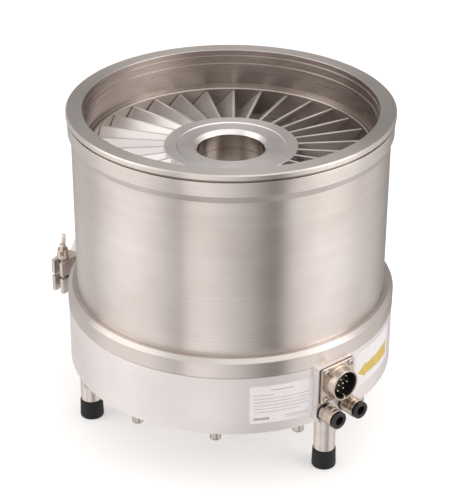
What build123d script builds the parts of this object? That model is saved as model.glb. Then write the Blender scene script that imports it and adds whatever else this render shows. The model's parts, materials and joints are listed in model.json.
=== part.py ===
"""Turbomolecular pump with an ISO-K inlet, a KF exhaust port and a three-legged water-cooled base.

Frame: origin at the centre of the inlet sealing face, +Z out of the inlet, -Y towards the
side that carries the electrical receptacle and the two coolant fittings. Millimetres.
"""
import math
import os

from build123d import *

# ---------------------------------------------------------------- driving dimensions
# Inlet flange and envelope, all depths measured down from the sealing face
flange_radius = 145.0
flange_land = 14.5
inlet_radius = flange_radius - flange_land
inlet_wall_depth = 5.5
rim_chamfer = 1.0
rim_depth = 4.7
claw_groove_cut = 2.6
claw_groove_radius = flange_radius - claw_groove_cut
claw_groove_depth = 7.0
collar_inset = 0.7
collar_radius = flange_radius - collar_inset
collar_step = 0.35
collar_step_depth = 11.0
collar_depth = 20.0
tube_inset = 3.8
tube_radius = flange_radius - tube_inset
tube_start_depth = 26.5
tube_depth = 171.5
undercut = 0.8
undercut_width = 2.0
foot_ring_step = 8.8
foot_ring_radius = tube_radius + foot_ring_step
foot_ring_chamfer_width = 4.0
foot_ring_chamfer_height = 3.2
foot_ring_height = 18.0
seam_depth = tube_depth + foot_ring_height
screen_ledge_width = 1.0
screen_ledge_radius = inlet_radius - screen_ledge_width
screen_ledge_depth = 13.0
throat_step = 0.9
throat_radius = screen_ledge_radius - throat_step
snap_groove_cut = 1.6
snap_groove_radius = throat_radius + snap_groove_cut
snap_groove_top = 31.0
snap_groove_bottom = 34.4
lip_step = 3.9
lip_radius = throat_radius - lip_step
lip_depth = 36.4
lip_chamfer = 1.0
stack_shoulder_depth = 62.0
casing_wall = 16.0
stack_bore_radius = foot_ring_radius - casing_wall

# Base
base_inset = 0.3
base_radius = foot_ring_radius - base_inset
base_height = 56.5
base_depth = seam_depth + base_height
base_plate_thickness = 12.0
base_bore_inset = 0.4
base_bore_radius = stack_bore_radius - base_bore_inset
exhaust_gallery_step = 5.6
exhaust_gallery_radius = base_bore_radius - exhaust_gallery_step
drag_seat_height = 30.0
drag_seat_depth = base_depth - drag_seat_height
base_centre_bore_radius = 44.0
leg_height = 64.0
standing_height = base_depth + leg_height

# Rotor: blade height, blade count and blade lean of each turbo stage, top to bottom
rotor_top_depth = 38.9
rotor_stages = ((20.0, 30, 45.0), (14.0, 30, 40.0), (10.0, 30, 33.0),
                (8.0, 36, 28.0), (7.0, 36, 24.0), (6.0, 36, 22.0))
stator_heights = (12.0, 9.0, 7.0, 6.0, 5.0)
stage_clearance = 2.0
hub_radius = 59.7
hub_step_radius = 48.5
hub_step_height = 0.6
hub_recess_radius = 30.3
hub_recess_chamfer = 3.6
hub_recess_depth = 17.0
hub_web_thickness = 16.0
bell_radius = 50.0
blade_root_wall = 4.0
blade_tip_gap = 0.8
blade_tip_radius = lip_radius - blade_tip_gap
rotor_blade_thickness = 1.7
first_blade_angle = -1.2
drag_stage_width = 24.0
drum_radius = stack_bore_radius - drag_stage_width
drum_wall = 6.0
drum_web_thickness = 7.0
drum_end_height = 18.0
drum_end_depth = base_depth - drum_end_height

# Stator stack
stator_rim_thickness = 2.0
stator_blade_count = 30
stator_blade_thickness = 1.4
stator_hub_gap = 0.9
stator_hub_width = 2.4
stator_rim_lap = 2.0
stack_clearance = 0.3
drag_clearance = 0.9

# Bearing column, magnets and shaft
column_radius = 46.0
column_bore_radius = 31.0
column_top_depth = 92.0
column_foot_radius = 62.0
column_foot_thickness = 8.0
column_screw_circle_radius = 54.5
column_screw_count = 6
column_screw_grip = 7.0
shaft_radius = 15.0
shaft_flange_radius = 27.0
shaft_flange_thickness = 7.0
rotor_screw_circle_radius = 21.5
rotor_screw_count = 6
rotor_screw_grip = 10.0
shaft_end_height = 9.0
shaft_end_depth = base_depth - shaft_end_height
sleeve_wall = 3.0
thrust_disc_height = 19.0
thrust_disc_thickness = 5.0
axial_magnet_thickness = 7.0
radial_magnet_length = 14.0
upper_bearing_setback = 20.0
lower_bearing_setback = 13.0
motor_upper_gap = 12.0
motor_lower_gap = 10.0
touchdown_length = 9.0
lower_touchdown_length = 6.0
thrust_disc_inset = 3.0
magnet_gap = 0.6
press_clearance = 0.05
touchdown_gap = 0.4

# Underside
casing_screw_inset = 7.7
casing_screw_circle_radius = base_radius - casing_screw_inset
casing_screw_count = 12
casing_screw_first_angle = 15.0
casing_screw_grip = 12.0
leg_inset = 16.7
leg_circle_radius = base_radius - leg_inset
leg_count = 3
leg_first_angle = 30.0
leg_radius = 9.8
leg_flat_width = 17.0
leg_flat_length = 14.0
leg_spigot_radius = 5.0
leg_spigot_length = 9.0
rubber_foot_radius = 10.6
rubber_foot_flare = 0.5
rubber_foot_height = 19.0
rubber_socket_depth = 13.0
cover_radius = 58.0
cover_thickness = 5.0
cover_spigot_length = 6.0
cover_screw_circle_radius = 51.0
cover_screw_count = 8
cover_screw_grip = 7.0

# Service side: receptacle and coolant fittings on a milled pad
service_x = -7.4
pad_rise = 2.7
pad_face = base_radius + pad_rise
pad_width = 44.2
pad_drop = 0.5
pad_foot = 4.5
pad_height = base_height - pad_foot
receptacle_width = 38.0
fitting_band = 17.0
receptacle_height = pad_height - fitting_band
receptacle_plate = 2.4
receptacle_screw_side_inset = 5.1
receptacle_screw_end_inset = 3.6
receptacle_screw_grip = 9.0
service_pocket_depth = 12.0
barrel_radius = 13.7
barrel_bore_radius = 12.0
barrel_length = 11.6
insert_setback = 10.2
insert_depth = 8.0
socket_key_width = 1.6
socket_key_height = 2.0
socket_key_root = 0.6
socket_key_setback = 1.5
contact_radius = 0.8
contact_length = 5.4
outer_contacts = 7
outer_contact_circle = 7.8
inner_contacts = 3
inner_contact_circle = 3.1
key_angle = -90.0
contact_tip_height = 0.6
contact_tip_taper = 0.45
fitting_spacing = 25.5
fitting_height = 11.0
fitting_depth = base_depth - fitting_height
fitting_radius = 8.3
fitting_length = 13.0
fitting_seal_thickness = 1.2
fitting_thread_radius = 6.5
fitting_thread_length = 11.0
tube_bore_radius = 4.08
tube_seat_length = 6.0
water_bore_radius = 3.0
collar_head_radius = 7.6
collar_head_thickness = 1.7
collar_stem_radius = 6.2
collar_stem_length = 4.5
collar_bore_radius = 4.3
collar_travel = 1.2

# Exhaust port
port_angle = 100.0
port_height = 33.0
port_depth = base_depth - port_height
port_reach = 23.3
port_face = base_radius + port_reach
port_tube_radius = 22.25
port_bore_radius = 20.0
kf_flange_radius = 27.5
kf_rim = 3.0
kf_taper = 15.0
kf_gap = 3.9
kf_recess_radius = 20.6
kf_recess_depth = 3.5
blank_thickness = 9.0
clamp_radius = 33.5
clamp_width = 16.0
clamp_split = 3.0
clamp_bolt_offset = 45.0
clamp_lug_length = 9.0
clamp_lug_height = 16.0
clamp_lug_width = 15.0
clamp_slot_width = 7.0
clamp_hinge_offset = 40.0
clamp_hinge_radius = 5.0
clamp_root = 3.0
clamp_knuckle_gap = 0.1
clamp_eye_radius = 4.3
clamp_eye_thickness = 6.4
lug_slope = 2.0
clamp_pin_radius = 2.0
swing_pivot_drop = 9.5
swing_bolt_radius = 3.0
swing_bolt_length = 41.0
wing_hub_taper = 6.0
wing_rest_turn = 40.0
wing_hub_radius = 6.0
wing_hub_height = 8.0
wing_span = 15.0
wing_height = 18.0
wing_thickness = 3.0
wing_ear_radius = 4.6
wing_foot_height = 1.5
wing_root_width = 2.4

# Fasteners and fits
m6_radius = 3.0
m6_head_radius = 5.0
m6_head_height = 6.0
m6_hex = 5.0
m6_washer_radius = 6.0
m6_washer_thickness = 1.6
m5_radius = 2.5
m5_head_radius = 4.25
m5_head_height = 5.0
m5_hex = 4.0
m3_radius = 1.5
m3_head_radius = 2.8
m3_head_height = 1.8
m3_hex = 2.0
screw_clearance = 0.3
running_clearance = 0.05
free_clearance = 0.3
seal_width = 3.0
seal_height = 2.2

# ---------------------------------------------------------------- derived levels
base_floor_depth = base_depth - base_plate_thickness
leg_cap_depth = standing_height - rubber_foot_height
stack_outer_radius = stack_bore_radius - stack_clearance
column_insert_radius = column_bore_radius - press_clearance
port_level = -port_depth
service_level = -(seam_depth + pad_drop + receptacle_height / 2)

# Walk down the stages: each rotor stage is followed by a stator and two running gaps
rotor_levels = []
stator_levels = []
walk = rotor_top_depth
for stage_index, (blade_height, blade_count, blade_lean) in enumerate(rotor_stages):
    rotor_levels.append(walk)
    walk += blade_height + stage_clearance
    if stage_index < len(stator_heights):
        stator_levels.append(walk)
        walk += stator_heights[stage_index] + stage_clearance
stages_end_depth = walk - stage_clearance
drum_start_depth = stages_end_depth + 1.0
drag_top_depth = drum_start_depth + 1.0
recess_floor_depth = rotor_top_depth + hub_recess_depth
cap_thickness = 3.0
web_top_depth = recess_floor_depth + cap_thickness
web_end_depth = web_top_depth + hub_web_thickness
flange_end_depth = web_end_depth + shaft_flange_thickness

os.makedirs("parts", exist_ok=True)


def save(piece, name):
    """Label one finished piece and write it as its own STEP file."""
    piece.label = name
    export_step(piece, f"parts/{name}.step")


def turned(points, plane=Plane.XZ, axis=Axis.Z):
    """A turned piece from the half section given as (radius, level) points."""
    with BuildPart() as blank:
        with BuildSketch(plane):
            with BuildLine():
                Polyline(*points, close=True)
            make_face()
        revolve(axis=axis)
    return blank


def turned_ring(inner, outer, top_depth, bottom_depth, edge=0.0):
    """A plain ring between two depths; edge is the small chamfer on its outer edges."""
    corners = [(inner, -top_depth), (outer - edge, -top_depth)]
    if edge:
        corners += [(outer, -top_depth - edge), (outer, -bottom_depth + edge)]
    corners += [(outer - edge, -bottom_depth), (inner, -bottom_depth)]
    return turned(corners)


def blade(height, lean, thickness, top_depth, inner, outer, root_sink, turn):
    """One flat leaning blade along +X; turn is +1 or -1 for the side its foot is swept to."""
    half_edge = thickness / math.sin(math.radians(lean)) / 2
    sweep_offset = turn * height / math.tan(math.radians(lean))
    with BuildPart() as one:
        with BuildSketch(Plane.YZ.offset(inner - root_sink)):
            with BuildLine():
                Polyline((-half_edge, -top_depth), (half_edge, -top_depth),
                         (sweep_offset + half_edge, -top_depth - height),
                         (sweep_offset - half_edge, -top_depth - height), close=True)
            make_face()
        extrude(amount=outer - inner + root_sink)
        with BuildSketch(Plane.XY.offset(-top_depth)):
            Circle(outer)
        extrude(amount=-height, mode=Mode.INTERSECT)
    return one


def socket_screw(head_radius, head_height, shank_radius, length, hexagon):
    """A socket head cap screw, head up, its bearing face on the XY plane."""
    with BuildPart() as screw:
        with BuildSketch():
            Circle(shank_radius)
        extrude(amount=-length)
        with BuildSketch():
            Circle(head_radius)
        extrude(amount=head_height)
        with BuildSketch(Plane.XY.offset(head_height)):
            RegularPolygon(hexagon / 2, 6, major_radius=False)
        extrude(amount=-head_height / 2, mode=Mode.SUBTRACT)
    return screw


def placed_group(piece, planes):
    """Copies of one piece, one solid for each plane given."""
    return Compound(children=[Location(plane) * piece.solid() for plane in planes])


def polar_planes(radius, angles, level, z_dir=(0, 0, 1)):
    """Planes on a circle about the pump's axis, facing along z_dir."""
    planes = []
    for angle in angles:
        direction = (math.cos(math.radians(angle)), math.sin(math.radians(angle)), 0)
        origin = (radius * direction[0], radius * direction[1], level)
        planes.append(Plane(origin=origin, x_dir=direction, z_dir=z_dir))
    return planes


# ---------------------------------------------------------------- envelope
casing_outline = [
    (inlet_radius, 0), (flange_radius - rim_chamfer, 0), (flange_radius, -rim_chamfer),
    (flange_radius, -rim_depth), (claw_groove_radius, -rim_depth),
    (claw_groove_radius, -claw_groove_depth), (collar_radius, -claw_groove_depth),
    (collar_radius, -collar_step_depth), (collar_radius - collar_step, -collar_step_depth),
    (collar_radius - collar_step, -collar_depth), (tube_radius, -tube_start_depth),
    (tube_radius, -tube_depth + undercut_width), (tube_radius - undercut, -tube_depth + undercut_width),
    (tube_radius - undercut, -tube_depth), (foot_ring_radius - foot_ring_chamfer_width, -tube_depth),
    (foot_ring_radius, -tube_depth - foot_ring_chamfer_height), (foot_ring_radius, -seam_depth),
    (stack_bore_radius, -seam_depth), (stack_bore_radius, -stack_shoulder_depth),
    (lip_radius, -stack_shoulder_depth), (lip_radius, -lip_depth - lip_chamfer),
    (lip_radius + lip_chamfer, -lip_depth), (throat_radius, -lip_depth),
    (throat_radius, -snap_groove_bottom), (snap_groove_radius, -snap_groove_bottom),
    (snap_groove_radius, -snap_groove_top), (throat_radius, -snap_groove_top),
    (throat_radius, -screen_ledge_depth), (screen_ledge_radius, -screen_ledge_depth),
    (screen_ledge_radius, -inlet_wall_depth), (inlet_radius, -inlet_wall_depth),
]

# The port passes where one of the casing screws would stand, so that place stays empty
casing_screw_angles = []
for index in range(casing_screw_count):
    screw_angle = casing_screw_first_angle + index * 360 / casing_screw_count
    offset_from_port = casing_screw_circle_radius * math.sin(math.radians(screw_angle - port_angle))
    facing_port = math.cos(math.radians(screw_angle - port_angle)) > 0
    if not (facing_port and abs(offset_from_port) < port_tube_radius + m6_head_radius):
        casing_screw_angles.append(screw_angle)
leg_angles = [leg_first_angle + index * 360 / leg_count for index in range(leg_count)]

with BuildPart() as casing:
    with BuildSketch(Plane.XZ):
        with BuildLine():
            Polyline(*casing_outline, close=True)
        make_face()
    revolve(axis=Axis.Z)
    with BuildSketch(Plane.XY.offset(-seam_depth)):
        for plane in polar_planes(casing_screw_circle_radius, casing_screw_angles, 0):
            with Locations(plane.origin):
                Circle(m6_radius)
    extrude(amount=casing_screw_grip + screw_clearance, mode=Mode.SUBTRACT)
save(casing.part, "casing")

# ---------------------------------------------------------------- base
seal_radius = (base_bore_radius + casing_screw_circle_radius - m6_radius) / 2
base_outline = [
    (base_bore_radius, -seam_depth), (seal_radius - seal_width / 2, -seam_depth),
    (seal_radius - seal_width / 2, -seam_depth - seal_height),
    (seal_radius + seal_width / 2, -seam_depth - seal_height),
    (seal_radius + seal_width / 2, -seam_depth), (base_radius, -seam_depth),
    (base_radius, -base_depth), (base_centre_bore_radius, -base_depth),
    (base_centre_bore_radius, -base_floor_depth), (exhaust_gallery_radius, -base_floor_depth),
    (exhaust_gallery_radius, -drag_seat_depth), (base_bore_radius, -drag_seat_depth),
]
pad_top = -(seam_depth + pad_drop)
pad_middle = pad_top - pad_height / 2
port_direction = Vector(math.cos(math.radians(port_angle)), math.sin(math.radians(port_angle)), 0)
port_across = Vector(-port_direction.Y, port_direction.X, 0)
port_section = Plane(origin=(0, 0, port_level), x_dir=port_direction, z_dir=-port_across)
port_axis = Axis((0, 0, port_level), port_direction)
fitting_places = [(service_x + side * fitting_spacing / 2, -fitting_depth) for side in (-1, 1)]
screw_places = [(service_x + across * (receptacle_width / 2 - receptacle_screw_side_inset),
                 service_level + up * (receptacle_height / 2 - receptacle_screw_end_inset))
                for across in (-1, 1) for up in (-1, 1)]
pad_plane = Plane(origin=(0, -pad_face, 0), x_dir=(1, 0, 0), z_dir=(0, -1, 0))

with BuildPart() as base_body:
    with BuildSketch(Plane.XZ):
        with BuildLine():
            Polyline(*base_outline, close=True)
        make_face()
    revolve(axis=Axis.Z)
    # milled pad of the service side, grown out of the drum wall
    with BuildSketch(pad_plane):
        with Locations((service_x, pad_middle)):
            RectangleRounded(pad_width, pad_height, 2.0)
    extrude(amount=-(pad_face - (base_bore_radius + base_radius) / 2))
    # receptacle pocket with its four tapped holes, and the coolant ports
    with BuildSketch(pad_plane):
        with Locations((service_x, service_level)):
            Circle(barrel_bore_radius + free_clearance)
        with Locations(*screw_places):
            Circle(m3_radius)
        with Locations(*fitting_places):
            Circle(fitting_thread_radius + running_clearance)
    extrude(amount=-service_pocket_depth, mode=Mode.SUBTRACT)
    # exhaust passage through the wall
    with BuildSketch(Plane(origin=port_direction * base_radius + Vector(0, 0, port_level),
                           x_dir=port_across, z_dir=port_direction)):
        Circle(port_tube_radius + running_clearance)
    extrude(amount=-(base_radius - exhaust_gallery_radius) - 4.0, mode=Mode.SUBTRACT)
    # clearance holes of the casing screws and tapped holes of the legs and of the cover
    with BuildSketch(Plane.XY.offset(-base_depth)):
        for plane in polar_planes(casing_screw_circle_radius, casing_screw_angles, 0):
            with Locations(plane.origin):
                Circle(m6_radius + screw_clearance)
    extrude(amount=base_depth - seam_depth, mode=Mode.SUBTRACT)
    with BuildSketch(Plane.XY.offset(-base_depth)):
        with PolarLocations(leg_circle_radius, leg_count, leg_first_angle):
            Circle(leg_spigot_radius + running_clearance)
    extrude(amount=leg_spigot_length + free_clearance, mode=Mode.SUBTRACT)
    with BuildSketch(Plane.XY.offset(-base_depth)):
        with PolarLocations(cover_screw_circle_radius, cover_screw_count, 180 / cover_screw_count):
            Circle(m5_radius)
    extrude(amount=cover_screw_grip + free_clearance, mode=Mode.SUBTRACT)
    with BuildSketch(Plane.XY.offset(-base_floor_depth)):
        with PolarLocations(column_screw_circle_radius, column_screw_count):
            Circle(m5_radius)
    extrude(amount=-column_screw_grip - free_clearance, mode=Mode.SUBTRACT)
save(base_body.part, "base_body")

casing_seal = turned_ring(seal_radius - seal_width / 2, seal_radius + seal_width / 2,
                          seam_depth, seam_depth + seal_height)
save(casing_seal.part, "casing_seal")

# ---------------------------------------------------------------- casing screws and washers
washer_top = -base_depth
head_seat = washer_top - 2 * m6_washer_thickness
casing_screw = socket_screw(m6_head_radius, m6_head_height, m6_radius,
                            base_depth - seam_depth + casing_screw_grip + 2 * m6_washer_thickness, m6_hex)
casing_screws = placed_group(casing_screw.part, polar_planes(
    casing_screw_circle_radius, casing_screw_angles, head_seat, z_dir=(0, 0, -1)))
save(casing_screws, "casing_screws")

with BuildPart() as casing_washer:
    with BuildSketch():
        Circle(m6_washer_radius)
        Circle(m6_radius + screw_clearance, mode=Mode.SUBTRACT)
    extrude(amount=m6_washer_thickness)
    with BuildSketch(Plane.XY.offset(m6_washer_thickness)):
        Circle(m6_head_radius)
        Circle(m6_radius + screw_clearance, mode=Mode.SUBTRACT)
    extrude(amount=m6_washer_thickness)
casing_washers = placed_group(casing_washer.part, polar_planes(
    casing_screw_circle_radius, casing_screw_angles, washer_top, z_dir=(0, 0, -1)))
save(casing_washers, "casing_screw_washers")

# ---------------------------------------------------------------- legs and rubber feet
with BuildPart() as leg:
    with BuildSketch(Plane.XY.offset(-base_depth)):
        Circle(leg_radius)
    extrude(amount=-(leg_cap_depth + rubber_socket_depth - base_depth))
    with BuildSketch(Plane.XY.offset(-base_depth)):
        Circle(leg_spigot_radius)
    extrude(amount=leg_spigot_length)
    # spanner flats under the base
    with BuildSketch(Plane.XY.offset(-base_depth)):
        Rectangle(2 * leg_radius + 2, 2 * leg_radius + 2)
        Rectangle(2 * leg_radius + 2, leg_flat_width, mode=Mode.SUBTRACT)
    extrude(amount=-leg_flat_length, mode=Mode.SUBTRACT)
with BuildPart() as rubber_foot:
    with BuildSketch(Plane.XZ):
        with BuildLine():
            Polyline((0, -standing_height), (rubber_foot_radius + rubber_foot_flare, -standing_height),
                     (rubber_foot_radius + rubber_foot_flare, -standing_height + 2.0),
                     (rubber_foot_radius, -leg_cap_depth - 1.0), (rubber_foot_radius - 0.8, -leg_cap_depth),
                     (leg_radius, -leg_cap_depth), (leg_radius, -leg_cap_depth - rubber_socket_depth),
                     (0, -leg_cap_depth - rubber_socket_depth), close=True)
        make_face()
    revolve(axis=Axis.Z)
for number, plane in enumerate(polar_planes(leg_circle_radius, leg_angles, 0), start=1):
    save(Location(plane) * leg.part, f"leg_{number}")
    save(Location(plane) * rubber_foot.part, f"rubber_foot_{number}")

# ---------------------------------------------------------------- bottom cover
cover_seal_radius = (base_centre_bore_radius + cover_screw_circle_radius - m5_radius) / 2
bottom_cover_outline = [
    (0, -base_depth - cover_thickness), (cover_radius - 1.0, -base_depth - cover_thickness),
    (cover_radius, -base_depth - cover_thickness + 1.0), (cover_radius, -base_depth),
    (cover_seal_radius + 1.0, -base_depth), (cover_seal_radius + 1.0, -base_depth - 1.5),
    (cover_seal_radius - 1.0, -base_depth - 1.5), (cover_seal_radius - 1.0, -base_depth),
    (base_centre_bore_radius - press_clearance, -base_depth),
    (base_centre_bore_radius - press_clearance, -base_depth + cover_spigot_length),
    (0, -base_depth + cover_spigot_length),
]
with BuildPart() as bottom_cover:
    with BuildSketch(Plane.XZ):
        with BuildLine():
            Polyline(*bottom_cover_outline, close=True)
        make_face()
    revolve(axis=Axis.Z)
    with BuildSketch(Plane.XY.offset(-base_depth - cover_thickness)):
        with PolarLocations(cover_screw_circle_radius, cover_screw_count, 180 / cover_screw_count):
            Circle(m5_radius + screw_clearance)
    extrude(amount=cover_thickness, mode=Mode.SUBTRACT)
save(bottom_cover.part, "bottom_cover")

cover_seal = turned_ring(cover_seal_radius - 1.0, cover_seal_radius + 1.0, base_depth, base_depth + 1.5)
save(cover_seal.part, "cover_seal")

cover_screw = socket_screw(m5_head_radius, m5_head_height, m5_radius,
                           cover_thickness + cover_screw_grip, m5_hex)
cover_angles = [(index + 0.5) * 360 / cover_screw_count for index in range(cover_screw_count)]
cover_screws = placed_group(cover_screw.part, polar_planes(
    cover_screw_circle_radius, cover_angles, -base_depth - cover_thickness, z_dir=(0, 0, -1)))
save(cover_screws, "cover_screws")

# ---------------------------------------------------------------- rotor
web_hole_radius = rotor_screw_circle_radius - 2 * m5_radius
rotor_outline = [
    (hub_recess_radius, -web_top_depth), (hub_recess_radius, -rotor_top_depth - hub_recess_chamfer),
    (hub_recess_radius + hub_recess_chamfer, -rotor_top_depth),
    (hub_step_radius, -rotor_top_depth), (hub_step_radius, -rotor_top_depth + hub_step_height),
    (hub_radius, -rotor_top_depth + hub_step_height), (hub_radius, -drum_start_depth),
    (drum_radius, -drum_start_depth), (drum_radius, -drum_end_depth),
    (drum_radius - drum_wall, -drum_end_depth),
    (drum_radius - drum_wall, -drum_start_depth - drum_web_thickness),
    (bell_radius, -drum_start_depth - drum_web_thickness), (bell_radius, -web_end_depth),
    (web_hole_radius, -web_end_depth), (web_hole_radius, -web_top_depth),
]
with BuildPart() as rotor:
    with BuildSketch(Plane.XZ):
        with BuildLine():
            Polyline(*rotor_outline, close=True)
        make_face()
    revolve(axis=Axis.Z)
    for top_depth, (height, count, lean) in zip(rotor_levels, rotor_stages):
        stage_blade = blade(height, lean, rotor_blade_thickness, top_depth, hub_radius,
                            blade_tip_radius, hub_radius - bell_radius - blade_root_wall, 1)
        with PolarLocations(0, count, start_angle=first_blade_angle):
            add(stage_blade.part, clean=False)
    # tapped holes in the web for the screws of the shaft's flange
    with BuildSketch(Plane.XY.offset(-web_end_depth)):
        with PolarLocations(rotor_screw_circle_radius, rotor_screw_count):
            Circle(m5_radius)
    extrude(amount=rotor_screw_grip + free_clearance, mode=Mode.SUBTRACT)
save(rotor.part, "rotor")

rotor_cap = turned_ring(0.0, hub_recess_radius - press_clearance, recess_floor_depth, web_top_depth, 0.5)
save(rotor_cap.part, "rotor_cap")

# ---------------------------------------------------------------- stator stack
def stator_disc(top_depth, height, lean):
    """A bladed stator disc: inner ring, leaning blades and the rim clamped between spacers."""
    inner = hub_radius + stator_hub_gap
    rim_top = top_depth + (height - stator_rim_thickness) / 2
    with BuildPart() as disc:
        with BuildSketch(Plane.XY.offset(-rim_top)):
            Circle(stack_outer_radius)
            Circle(lip_radius - stator_rim_lap, mode=Mode.SUBTRACT)
        extrude(amount=-stator_rim_thickness)
        with BuildSketch(Plane.XY.offset(-top_depth)):
            Circle(inner + stator_hub_width)
            Circle(inner, mode=Mode.SUBTRACT)
        extrude(amount=-height)
        vane = blade(height, lean, stator_blade_thickness, top_depth, inner + stator_hub_width,
                     lip_radius - free_clearance, stator_hub_width, -1)
        with PolarLocations(0, stator_blade_count):
            add(vane.part, clean=False)
        # open the roots of the vanes back to the running gap round the hub
        with BuildSketch(Plane.XY.offset(-top_depth)):
            Circle(inner)
        extrude(amount=-height, mode=Mode.SUBTRACT)
    return disc


spacer_top = stack_shoulder_depth
for number, (top_depth, height) in enumerate(zip(stator_levels, stator_heights), start=1):
    disc = stator_disc(top_depth, height, rotor_stages[number][2])
    save(disc.part, f"stator_disc_{number}")
    rim_top = top_depth + (height - stator_rim_thickness) / 2
    save(turned_ring(lip_radius, stack_outer_radius, spacer_top, rim_top, 0.3).part, f"spacer_ring_{number}")
    spacer_top = rim_top + stator_rim_thickness
save(turned_ring(lip_radius, stack_outer_radius, spacer_top, drag_top_depth, 0.3).part,
     f"spacer_ring_{len(stator_heights) + 1}")

drag_stator_outline = [
    (drum_radius + drag_clearance, -drag_top_depth), (stack_outer_radius, -drag_top_depth),
    (stack_outer_radius, -seam_depth + 2.0), (base_bore_radius - free_clearance, -seam_depth + 1.0),
    (base_bore_radius - free_clearance, -drag_seat_depth), (drum_radius + drag_clearance, -drag_seat_depth),
]
with BuildPart() as drag_stator:
    with BuildSketch(Plane.XZ):
        with BuildLine():
            Polyline(*drag_stator_outline, close=True)
        make_face()
    revolve(axis=Axis.Z)
save(drag_stator.part, "drag_stator")

# ---------------------------------------------------------------- bearing column and its inserts
bearing_column_outline = [
    (column_bore_radius, -column_top_depth), (column_radius, -column_top_depth),
    (column_radius, -base_floor_depth + column_foot_thickness),
    (column_foot_radius, -base_floor_depth + column_foot_thickness),
    (column_foot_radius, -base_floor_depth), (column_bore_radius, -base_floor_depth),
]
with BuildPart() as bearing_column:
    with BuildSketch(Plane.XZ):
        with BuildLine():
            Polyline(*bearing_column_outline, close=True)
        make_face()
    revolve(axis=Axis.Z)
    with BuildSketch(Plane.XY.offset(-base_floor_depth)):
        with PolarLocations(column_screw_circle_radius, column_screw_count):
            Circle(m5_radius + screw_clearance)
    extrude(amount=column_foot_thickness, mode=Mode.SUBTRACT)
save(bearing_column.part, "bearing_column")

column_screw = socket_screw(m5_head_radius, m5_head_height, m5_radius,
                            column_foot_thickness + column_screw_grip, m5_hex)
column_screw_angles = [index * 360 / column_screw_count for index in range(column_screw_count)]
column_screws = placed_group(column_screw.part, polar_planes(
    column_screw_circle_radius, column_screw_angles, -base_floor_depth + column_foot_thickness))
save(column_screws, "column_screws")

sleeve_radius = shaft_radius + sleeve_wall
thrust_disc_radius = column_bore_radius - thrust_disc_inset
thrust_disc_top = base_floor_depth - thrust_disc_height
upper_radial_top = column_top_depth + upper_bearing_setback
upper_radial_levels = (upper_radial_top, upper_radial_top + radial_magnet_length)
lower_radial_end = thrust_disc_top - lower_bearing_setback
lower_radial_levels = (lower_radial_end - radial_magnet_length, lower_radial_end)
motor_levels = (upper_radial_levels[1] + motor_upper_gap, lower_radial_levels[0] - motor_lower_gap)
upper_touchdown_levels = (column_top_depth, column_top_depth + touchdown_length)
axial_upper_levels = (thrust_disc_top - magnet_gap - axial_magnet_thickness, thrust_disc_top - magnet_gap)
axial_lower_top = thrust_disc_top + thrust_disc_thickness + magnet_gap
axial_lower_levels = (axial_lower_top, axial_lower_top + axial_magnet_thickness)
lower_touchdown_levels = (axial_lower_levels[1], axial_lower_levels[1] + lower_touchdown_length)
column_inserts = {
    "touchdown_bearings": (shaft_radius + touchdown_gap, (upper_touchdown_levels, lower_touchdown_levels)),
    "radial_bearing_magnets": (sleeve_radius + magnet_gap, (upper_radial_levels, lower_radial_levels)),
    "axial_bearing_magnets": (shaft_radius + magnet_gap, (axial_upper_levels, axial_lower_levels)),
    "motor_stator": (sleeve_radius + magnet_gap, (motor_levels,)),
}
for insert_name, (inner, spans) in column_inserts.items():
    rings = [turned_ring(inner, column_insert_radius, *span).solid() for span in spans]
    save(Compound(children=rings), insert_name)

# ---------------------------------------------------------------- shaft and what turns with it
shaft_outline = [
    (0, -web_end_depth), (shaft_flange_radius - 1.0, -web_end_depth),
    (shaft_flange_radius, -web_end_depth - 1.0), (shaft_flange_radius, -flange_end_depth),
    (shaft_radius, -flange_end_depth), (shaft_radius, -shaft_end_depth + 1.0),
    (shaft_radius - 1.0, -shaft_end_depth), (0, -shaft_end_depth),
]
with BuildPart() as shaft:
    with BuildSketch(Plane.XZ):
        with BuildLine():
            Polyline(*shaft_outline, close=True)
        make_face()
    revolve(axis=Axis.Z)
    with BuildSketch(Plane.XY.offset(-web_end_depth)):
        with PolarLocations(rotor_screw_circle_radius, rotor_screw_count):
            Circle(m5_radius + screw_clearance)
    extrude(amount=-shaft_flange_thickness, mode=Mode.SUBTRACT)
save(shaft.part, "shaft")

rotor_screw = socket_screw(m5_head_radius, m5_head_height, m5_radius,
                           shaft_flange_thickness + rotor_screw_grip, m5_hex)
rotor_screw_angles = [index * 360 / rotor_screw_count for index in range(rotor_screw_count)]
rotor_screws = placed_group(rotor_screw.part, polar_planes(
    rotor_screw_circle_radius, rotor_screw_angles, -flange_end_depth, z_dir=(0, 0, -1)))
save(rotor_screws, "rotor_screws")

save(turned_ring(shaft_radius, sleeve_radius, *motor_levels).part, "motor_magnet")
save(Compound(children=[turned_ring(shaft_radius, sleeve_radius, *upper_radial_levels).solid(),
                        turned_ring(shaft_radius, sleeve_radius, *lower_radial_levels).solid()]),
     "bearing_laminations")
save(turned_ring(shaft_radius, thrust_disc_radius, thrust_disc_top,
                 thrust_disc_top + thrust_disc_thickness).part, "thrust_disc")

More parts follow.
